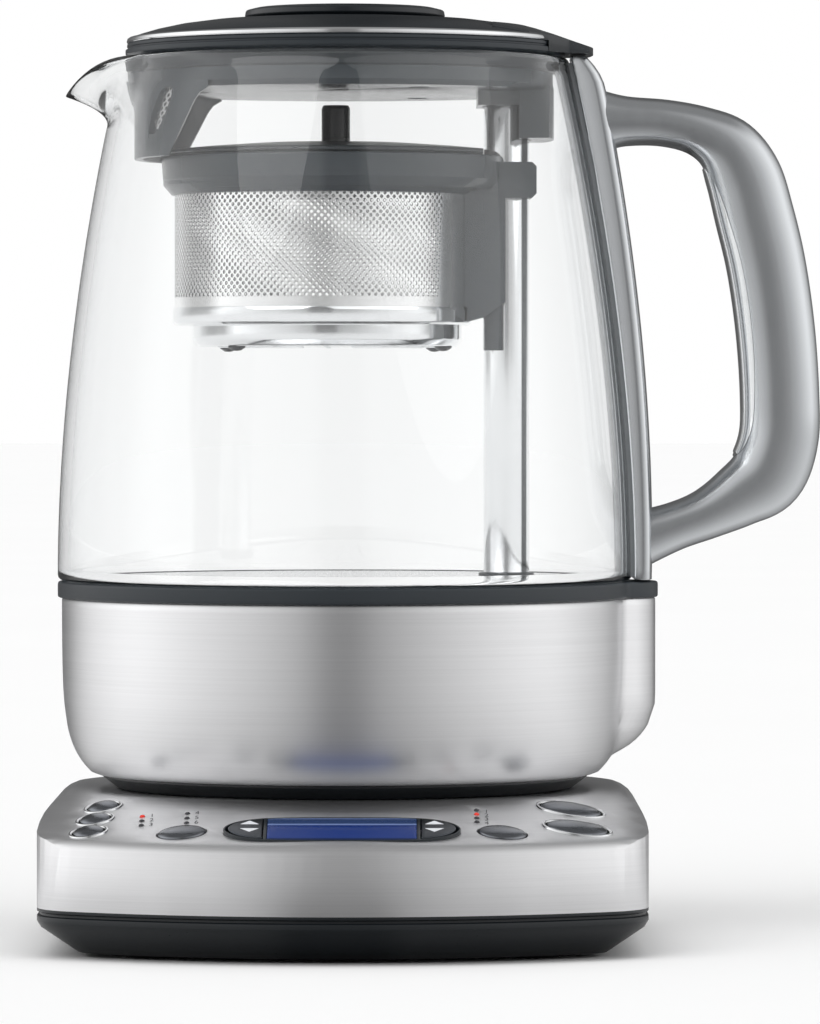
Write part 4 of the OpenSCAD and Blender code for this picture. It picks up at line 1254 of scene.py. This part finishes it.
# ---- The tea basket ----
@dataclass
class Basket:
    """The tea basket: grey carrier, perforated wall, polished floor and its own lid."""

    x: float = -6.3
    radius: float = 40.3
    low: float = 172.6
    holes_low: float = 174.0
    holes_high: float = 204.2
    top: float = 205.9
    columns: int = 134
    rows: int = 29
    web: float = 0.44
    hole_corner: float = 0.22
    sheet: float = 0.35
    twist: float = 0.0016
    plain_half_angle: float = 39.5
    rim_x: float = -3.3
    rim_r: float = 46.9
    chord_x: float = 37.4
    step_x: float = -4.8
    step_r: float = 36.8
    ribs: int = 12

    def build_wall(self) -> None:
        """Makes the perforated wall with its plain strip and plain edges."""
        pitch = 2 * math.pi * self.radius / self.columns
        row_step = (self.holes_high - self.holes_low) / (self.rows + 1)
        middle = (self.holes_high + self.holes_low) / 2
        plain = self.plain_half_angle / 360.0 * self.columns
        sheet = perforated_sheet(
            self.columns, self.rows, pitch, row_step, self.web,
            lambda c: c + 1 < plain or c > self.columns - plain, self.hole_corner)
        bmesh.ops.recalc_face_normals(sheet.bm, faces=sheet.bm.faces)
        length = pitch * self.columns

        def roll(point: Vector) -> Vector:
            """Rolls the sheet up, with its seam towards the post."""
            angle = 2 * math.pi * (point.x / length + 0.5) + point.y * self.twist
            return Vector((self.radius * math.cos(angle), self.radius * math.sin(angle), point.y + middle))

        sheet.warp(roll)
        bmesh.ops.remove_doubles(sheet.bm, verts=sheet.bm.verts, dist=0.02)
        bmesh.ops.solidify(sheet.bm, geom=sheet.bm.faces, thickness=self.sheet)
        sheet.turn(Matrix.Translation((self.x, 0.0, 0.0)))
        for low, high in ((self.low - 4.0, self.holes_low + 0.9), (self.holes_high - 0.9, self.top)):
            band = [(self.radius - 0.4, low), (self.radius + 0.02, low), (self.radius + 0.02, high),
                    (self.radius - 0.4, high)]
            sheet.join(Form().lathe(band, 160, (self.x, 0.0)))
        sheet.piece("sieve_wall", Stuff.SIEVE_STEEL, "basket", "fine_steel", ["basket_wall"])

    def build_floor(self) -> None:
        """Makes the polished floor: a band round the wall and the stepped dish below it."""
        r = self.radius
        band = rounded([
            (r + 0.02, 172.1, 0.1), (r + 0.3, 172.3, 0.2), (r + 0.5, 171.4, 0.3), (r + 0.5, 168.2, 0.6),
            (r - 0.6, 167.5, 0.3), (34.0, 167.5, 0.2), (34.0, 168.0, 0.2), (r + 0.02, 168.0, 0.1)], 4)
        form = Form().lathe(band, 160, (self.x, 0.0))
        s = self.step_r
        dish = [(0.0, 162.5)] + rounded(
            [(s - 3.0, 162.5, 1.5), (s - 0.8, 164.5, 1.5), (s - 0.8, 168.0, 0.1), (s, 168.0, 0.1),
             (s, 163.6, 1.2), (s - 1.4, 161.7, 1.0), (s - 6.0, 161.7, 0.2)], 5, closed=False) + [(0.0, 161.7)]
        form.join(Form().lathe(dish, 160, (self.step_x, 0.0)))
        bar = rounded([(14.0, -0.7, 0.6), (30.0, -0.7, 0.6), (30.0, 0.7, 0.6), (14.0, 0.7, 0.6)], 4)
        middle = Matrix.Translation((self.step_x, 0.0, 0.0))
        for k in range(self.ribs):
            rib = Form().prism(bar, 161.35, 161.75, 0.15, 2)
            form.join(rib.turn(middle @ Matrix.Rotation(math.radians(360.0 / self.ribs * k), 4, "Z")))
        form.piece("basket_dish", Stuff.BRIGHT_TRIM, "basket", "polished_steel", ["basket_floor"])

    def build_cover(self) -> None:
        """Makes the basket's own lid and its knob."""
        cover = [(0.0, 213.6)] + rounded(
            [(38.0, 213.6, 0.3), (self.rim_r - 0.8, 213.55, 0.2), (self.rim_r, 214.1, 0.4),
             (self.rim_r - 0.5, 215.0, 0.5), (self.rim_r - 2.6, 215.2, 0.6), (36.0, 216.0, 6.0),
             (22.0, 217.0, 8.0), (8.0, 217.5, 6.0)], 5, closed=False) + [(0.0, 217.6)]
        form = Form().lathe(cover, 160, (self.rim_x, 0.0))
        whole = list(form.bm.verts) + list(form.bm.edges) + list(form.bm.faces)
        cut = bmesh.ops.bisect_plane(form.bm, geom=whole, plane_co=(self.chord_x, 0.0, 0.0),
                                     plane_no=(1.0, 0.0, 0.0), clear_outer=True)["geom_cut"]
        chord = [g for g in cut if isinstance(g, bmesh.types.BMEdge)]
        bmesh.ops.contextual_create(form.bm, geom=chord)
        form.piece("basket_cover_disc", Stuff.DARK_PLASTIC, "basket_cover", "dark_plastic", ["basket_lid"])
        knob = [(0.0, 217.6)] + rounded(
            [(3.9, 217.6, 0.2), (3.9, 226.6, 0.9), (3.4, 227.5, 0.6)], 5, closed=False) + [(0.0, 227.5)]
        Form().lathe(knob, 64, (-2.5, 0.0)).piece(
            "basket_cover_knob", Stuff.KNOB_BLACK, "basket_cover", "black_gloss", ["basket_knob"])

    def build(self) -> None:
        """Makes the basket."""
        self.build_wall()
        self.build_floor()
        self.build_cover()
        dress("basket_carrier", Stuff.GREY_PLASTIC, 0.4)
        dress("basket_feet", Stuff.DARK_PLASTIC)
        dress("basket_magnets", Stuff.SCREW_STEEL, 0.1)


# ---- The control panel ----
@dataclass
class Panel:
    """The sloping control panel with its display, keys, buttons and lamps."""

    centre_y: float = 35.0
    start: float = 99.0
    top: float = 41.0
    slope: float = 14.7
    display: Point2 = (122.0, 0.0)
    display_half: Point2 = (30.6, 9.3)
    window: float = 19.55
    key_start: float = 20.8
    arrow_x: float = 24.2
    arrow_y: float = 1.3
    arrow_half: float = 2.5
    arrow_foot: float = 1.7
    arrow_tip: float = 4.6
    button_low: float = -5.0
    lens_radii: Point3 = (0.74, 0.74, 0.5)
    number_shift: Point2 = (2.6, -0.1)
    small_half: Point2 = (4.15, 4.15)
    oval_half: Point2 = (6.5, 5.2)
    large_half: Point2 = (8.25, 5.5)
    rim: float = 1.25

    def frame_at(self, rho: float, phi: float) -> Matrix:
        """Where an item sits on the panel.

        Args:
            rho: Distance from the panel's centre.
            phi: Angle from the front, in degrees.

        Returns:
            The matrix that carries an item from the origin to its place, square to the slope.
        """
        a = math.radians(phi)
        x, y = rho * math.sin(a), self.centre_y - rho * math.cos(a)
        return self.frame_on(x, y)

    def frame_on(self, x: float, y: float) -> Matrix:
        """Where an item at a point of the plan sits on the panel."""
        rho = math.hypot(x, y - self.centre_y)
        z = self.top - (rho - self.start) * math.tan(math.radians(self.slope))
        lean = Matrix.Rotation(math.radians(self.slope), 4, Vector((self.centre_y - y, x, 0.0)))
        return Matrix.Translation((x, y, z)) @ lean

    def build_button(self, name: str, node: str, body: str, at: Point2, half: Point2) -> None:
        """Makes a domed button cap with its skirt.

        Args:
            name: Name of the piece.
            node: CAD node that it stands for.
            body: Body that it rides on.
            at: Distance and angle on the panel.
            half: Half width and half depth of the cap.
        """
        section = [(0.0, self.button_low), (0.98, self.button_low), (0.98, 0.0), (0.965, 0.24), (0.92, 0.5),
                   (0.84, 0.76), (0.7, 1.04), (0.5, 1.28), (0.25, 1.44), (0.0, 1.5)]
        form = Form().lathe(section, 64)
        form.turn(Matrix.Diagonal((half[0], half[1], 1.0, 1.0)))
        form.turn(self.frame_at(*at)).piece(name, Stuff.BUTTON_METAL, body, "button_metal", [node])

    def rim_form(self, at: Point2, half: Point2) -> Form:
        """The bright rim round a button.

        Args:
            at: Distance and angle on the panel.
            half: Half width and half depth of the button's cap.

        Returns:
            The rim in its place.
        """
        inner, outer = 0.3, self.rim
        profile = [(inner, -1.7), (outer, -1.7), (outer, 0.05), (outer - 0.15, 0.3), (outer - 0.5, 0.4),
                   (inner + 0.2, 0.3), (inner, 0.05)]
        rings = []
        for r, z in profile:
            rings.append([(x, y, z) for x, y in oval((half[0] + r, half[1] + r), 64)])
        form = Form().rings(rings + rings[:1], caps=False)
        form.merge()
        return form.turn(self.frame_at(*at))

    def build_buttons(self) -> None:
        """Makes all buttons and rims."""
        small, wide, large = self.small_half, self.oval_half, self.large_half
        rimmed = [("auto_start", (108.0, -36.3), small), ("keep_warm", (118.0, -33.8), small),
                  ("basket_key", (128.0, -31.5), small), ("hot_water", (109.5, 33.6), large),
                  ("start_cancel", (124.5, 29.8), large)]
        plain = [("tea_type", (126.5, -19.4), wide), ("strength", (126.5, 19.4), wide)]
        for body, at, half in rimmed + plain:
            node = "basket_button" if body == "basket_key" else f"{body}_button"
            self.build_button(f"{body}_cap", node, body, at, half)
        rims = Form()
        for _, at, half in rimmed:
            rims.join(self.rim_form(at, half))
        rims.piece("rims", Stuff.BRIGHT_TRIM, "power_base", "polished_steel", ["button_rims"])

    def build_display(self) -> None:
        """Makes the bezel, the window and the rocker keys."""
        place = self.frame_at(*self.display)
        grown = (self.display_half[0] + 0.5, self.display_half[1] + 0.5)
        bezel = Form().prism(long_oval(grown), -3.0, 0.15, 0.2, 3, long_oval(self.display_half))
        for side in (-1.0, 1.0):
            low, high = sorted((side * (self.window + 0.1), side * (self.key_start - 0.25)))
            long_half = self.display_half[0]
            bar = long_oval(self.display_half, low / long_half, high / long_half, 3)
            bezel.join(Form().prism(bar, -3.0, 0.05, 0.12, 2))
        bezel.turn(place).piece(
            "display_frame", Stuff.DARK_PLASTIC, "power_base", "dark_plastic", ["display_bezel"])
        pane = (self.display_half[0] - 0.1, self.display_half[1] - 0.1)
        window = long_oval(pane, -self.window / pane[0], self.window / pane[0], 40)
        Form().prism(window, -1.2, 0.1, 0.15, 2).turn(place).piece(
            "display_window", Stuff.DISPLAY, "power_base", "display_blue", ["lcd_window"])
        for side, name in ((-1.0, "left"), (1.0, "right")):
            inner = (self.display_half[0] - 0.75, self.display_half[1] - 0.25)
            low, high = sorted((side * self.key_start / inner[0], side * 1.0))
            plate = rounded([(x, y, 0.3) for x, y in long_oval(inner, low, high, 12)], 2)
            key = Form().prism(plate, -2.2, 0.38, 0.3, 3)
            key.turn(place).piece(f"{name}_key_plate", Stuff.KEY_METAL, f"{name}_key", "key_plastic",
                                  [f"{name}_rocker_key"])
            arrows = Form()
            for way in (-1.0, 1.0):
                foot, tip = self.arrow_y + way * self.arrow_foot, self.arrow_y + way * self.arrow_tip
                middle = side * self.arrow_x
                corners = [(middle - self.arrow_half, foot, 0.1), (middle + self.arrow_half, foot, 0.1),
                           (middle, tip, 0.2)]
                arrows.join(Form().prism(rounded(corners, 3), 0.36, 0.44))
            arrows.turn(place).piece(f"{name}_key_arrows", Stuff.PRINT_WHITE, f"{name}_key", "key_plastic")

    def build_lamps(self) -> None:
        """Makes the small indicator lenses and the plain numbers beside them."""
        lit, unlit = Form(), Form()
        marks: list[tuple[str, float, float, bool]] = []
        for i in range(3):
            marks.append((str(i + 1), -53.0, -66.2 - 4.0 * i, i == 0))
            marks.append((str(i + 4), -41.0, -68.1 - 4.0 * i, False))
        for i in range(4):
            marks.append((str(i + 1), 35.4, -67.0 - 3.3 * i, i == 1))
        for _, x, y, on in marks:
            lens = Form().ball(self.lens_radii, 20).turn(self.frame_on(x, y))
            (lit if on else unlit).join(lens)
        unlit.piece("lamps", Stuff.LENS_DARK, "power_base", "lens_plastic", ["indicator_lenses"])
        lit.piece("lamps_lit", Stuff.LENS_LIT, "power_base", "lens_plastic")
        numbers = Form()
        for text, x, y, _ in marks:
            place = self.frame_on(x + self.number_shift[0], y + self.number_shift[1])
            numbers.join(self.number(text).turn(place))
        numbers.piece("lamp_numbers", Stuff.PRINT_GREY, "power_base", "dark_plastic")

    @staticmethod
    def number(text: str) -> Form:
        """A flat printed number, about 2.8 mm tall.

        Args:
            text: The number.

        Returns:
            Its flat shape, just above the origin.
        """
        curve = bpy.data.curves.new("number", "FONT")
        curve.body = text
        curve.size = 3.2
        curve.align_x = "CENTER"
        curve.align_y = "CENTER"
        holder = bpy.data.objects.new("number", curve)
        bpy.context.scene.collection.objects.link(holder)
        bpy.context.view_layer.update()
        mesh = bpy.data.meshes.new_from_object(holder)
        form = Form()
        form.bm.from_mesh(mesh)
        bpy.data.objects.remove(holder)
        bpy.data.meshes.remove(mesh)
        bpy.data.curves.remove(curve)
        bmesh.ops.scale(form.bm, verts=form.bm.verts, vec=(0.75, 1.25, 1.0))
        bmesh.ops.translate(form.bm, verts=form.bm.verts, vec=(0.0, 0.0, 0.03))
        return form

    def build(self) -> None:
        """Makes everything on the panel."""
        self.build_buttons()
        self.build_display()
        self.build_lamps()


@dataclass
class PowerBase:
    """The power base under the jug."""

    def build(self) -> None:
        """Dresses the shell, the tray and what they hold."""
        dress("base_shell", Stuff.BASE_STEEL, 0.35, 28.0)
        dress("base_tray", Stuff.BLACK_PLASTIC, 0.3, 28.0)
        dress("rubber_feet", Stuff.FOOT_RUBBER, 0.2)
        dress("base_screws", Stuff.SCREW_STEEL, 0.2)
        dress("connector_socket", Stuff.BLACK_PLASTIC, 0.4)
        dress("connector_contacts", Stuff.BRASS)
        dress("lcd_module", Stuff.CAST_METAL)
        dress("control_board", Stuff.BOARD)
        dress("tact_switches", Stuff.DARK_PLASTIC)
        dress("power_board", Stuff.BOARD)
        dress("cord_gland", Stuff.BLACK_PLASTIC, 0.4)


# ---- Studio ----
# Brightness of the tent by bearing in degrees: 0 is straight in front, positive to the handle's side
TENT_LEVELS: list[Point2] = [
    (-180.0, 0.02), (-178.8, 0.02), (-178.0, 0.14), (-160.0, 0.14), (-148.0, 0.22), (-126.0, 1.05),
    (-94.0, 1.42), (-80.0, 1.32), (-57.0, 1.05), (-36.0, 0.86), (-16.0, 0.62), (-12.0, 0.54), (-7.5, 0.24),
    (6.5, 0.24), (11.0, 0.52), (23.0, 0.6), (33.0, 0.74), (54.0, 0.96), (77.0, 1.18), (92.0, 1.25),
    (105.0, 1.02), (130.0, 0.7), (148.0, 0.22), (160.0, 0.14), (178.0, 0.12), (178.8, 0.02), (180.0, 0.02)]


@dataclass(frozen=True)
class Lamp:
    """A soft lamp without a place: its strength and, in degrees, its spread, pitch and heading."""

    name: str
    strength: float
    spread: float
    pitch: float
    heading: float


@dataclass
class Studio:
    """Camera, floor, lamps and the bright tent round the table that metal and glass reflect."""

    camera_at: Point3 = (0.0178, -1.89, 0.148)
    camera_pitch: float = -0.955
    lens: float = 242.6
    ambient: float = 0.55
    overhead: float = 0.3
    backdrop: float = 0.97
    side_share: float = 0.35
    floor_half: float = 20.0
    floor_mirrored: float = 0.6
    floor_dull: Colour = (0.93, 0.93, 0.93)
    floor_pale: Colour = (0.95, 0.95, 0.95)
    lamps: tuple[Lamp, ...] = (
        Lamp("Key", 1.1, 50.0, 48.0, -38.0), Lamp("Fill", 0.8, 70.0, 50.0, 48.0),
        Lamp("Top", 0.5, 60.0, 8.0, 0.0))

    def build_camera(self) -> None:
        """Places the camera at the photograph's angle."""
        data = bpy.data.cameras.new("Camera")
        data.lens = self.lens
        data.sensor_width = 36.0
        data.clip_end = 50.0
        camera = bpy.data.objects.new("Camera", data)
        camera.location = self.camera_at
        camera.rotation_euler = (math.radians(90.0 + self.camera_pitch), 0.0, 0.0)
        bpy.context.scene.collection.objects.link(camera)
        bpy.context.scene.camera = camera

    @staticmethod
    def wall_level(graph: Graph, x: Wire, y: Wire) -> Wire:
        """Brightness of the tent's wall in the direction of a point of the plan."""
        bearing = graph.wire("ShaderNodeMath", {"operation": "ARCTAN2"}, {0: x, 1: y * -1.0})
        stops = [(0.5 + turn / 360.0, level) for turn, level in TENT_LEVELS]
        return graph.level(bearing / (2 * math.pi) + 0.5, stops)

    def build_world(self) -> None:
        """White for the camera, the tent for metal and glass, and a plain level for the rest."""
        world = bpy.data.worlds.new("Studio")
        bpy.context.scene.world = world
        world.use_nodes = True
        graph = Graph(world.node_tree)
        toward = graph.wire("ShaderNodeTexCoord", output="Generated")
        way = graph.add("ShaderNodeSeparateXYZ", None, {0: toward})
        x, y, z = (Wire(graph, way.outputs[k]) for k in range(3))
        wall = self.wall_level(graph, x, y)
        high = graph.level(z, [(-1.0, 0.0), (0.6, 0.0), (0.86, 1.0), (1.0, 1.0)])
        tent = wall + (wall * -1.0 + self.overhead) * high
        behind = graph.level(y, [(-1.0, 0.0), (0.5, 0.0), (0.8, 1.0), (1.0, 1.0)])
        sides = [(-1.0, 1.0), (-0.1, 1.0), (0.15, self.side_share), (1.0, self.side_share)]
        dim = tent * graph.level(y, sides)
        through = dim + (dim * -1.0 + self.backdrop) * behind
        path = graph.add("ShaderNodeLightPath")
        camera, glossy, sent = (Wire(graph, path.outputs[name]) for name in (
            "Is Camera Ray", "Is Glossy Ray", "Is Transmission Ray"))
        strength = (camera * (1.0 - self.ambient) + glossy * (1.0 - sent) * (tent - self.ambient)
                    + sent * (through - self.ambient) + self.ambient)
        white = {"Color": (1.0, 1.0, 1.0, 1.0), "Strength": strength}
        graph.finish(graph.wire("ShaderNodeBackground", None, white), "ShaderNodeOutputWorld")

    def build_floor(self) -> None:
        """A wide pale floor, which shiny pieces mirror in the tones of the tent."""
        bm = bmesh.new()
        bmesh.ops.create_grid(bm, x_segments=4, y_segments=4, size=self.floor_half)
        mesh = bpy.data.meshes.new("Floor")
        bm.to_mesh(mesh)
        bm.free()
        floor = bpy.data.objects.new("Floor", mesh)
        bpy.context.scene.collection.objects.link(floor)
        material = bpy.data.materials.new("Floor white")
        material.use_nodes = True
        graph = Graph(material.node_tree)
        tone = graph.noise((3.0, 3.0, 3.0), 1.0)
        path = graph.add("ShaderNodeLightPath")
        glossy, sent = (Wire(graph, path.outputs[name]) for name in ("Is Glossy Ray", "Is Transmission Ray"))
        pale = graph.blend(tone, self.floor_dull, self.floor_pale)
        x, y, _ = graph.axes()
        mirrored = self.wall_level(graph, x, y) * self.floor_mirrored
        graph.finish(graph.shader(Base_Color=graph.blend(glossy * (1.0 - sent), pale, mirrored),
                                  Roughness=0.7, Specular_IOR_Level=0.2))
        mesh.materials.append(material)

    def build_lamps(self) -> None:
        """Soft lamps that light the object evenly."""
        for lamp in self.lamps:
            data = bpy.data.lights.new(lamp.name, "SUN")
            data.energy = lamp.strength
            data.angle = math.radians(lamp.spread)
            hung = bpy.data.objects.new(lamp.name, data)
            hung.rotation_euler = (math.radians(lamp.pitch), 0.0, math.radians(lamp.heading))
            hung.visible_glossy = False
            bpy.context.scene.collection.objects.link(hung)

    def build(self) -> None:
        """Sets the whole studio."""
        bpy.context.scene.view_settings.view_transform = "Standard"
        self.build_camera()
        self.build_world()
        self.build_floor()
        self.build_lamps()


def main() -> None:
    """Builds the tea maker and its studio."""
    logging.basicConfig(level=logging.INFO, format="%(message)s")
    Studio().build()
    glass = Glass()
    for assembly in (glass, Skirt(), SealRing(), JugBottom(), Post(), Handle(glass), Lid(), Basket(), Panel(),
                     PowerBase()):
        assembly.build()


if __name__ == "__main__":
    main()
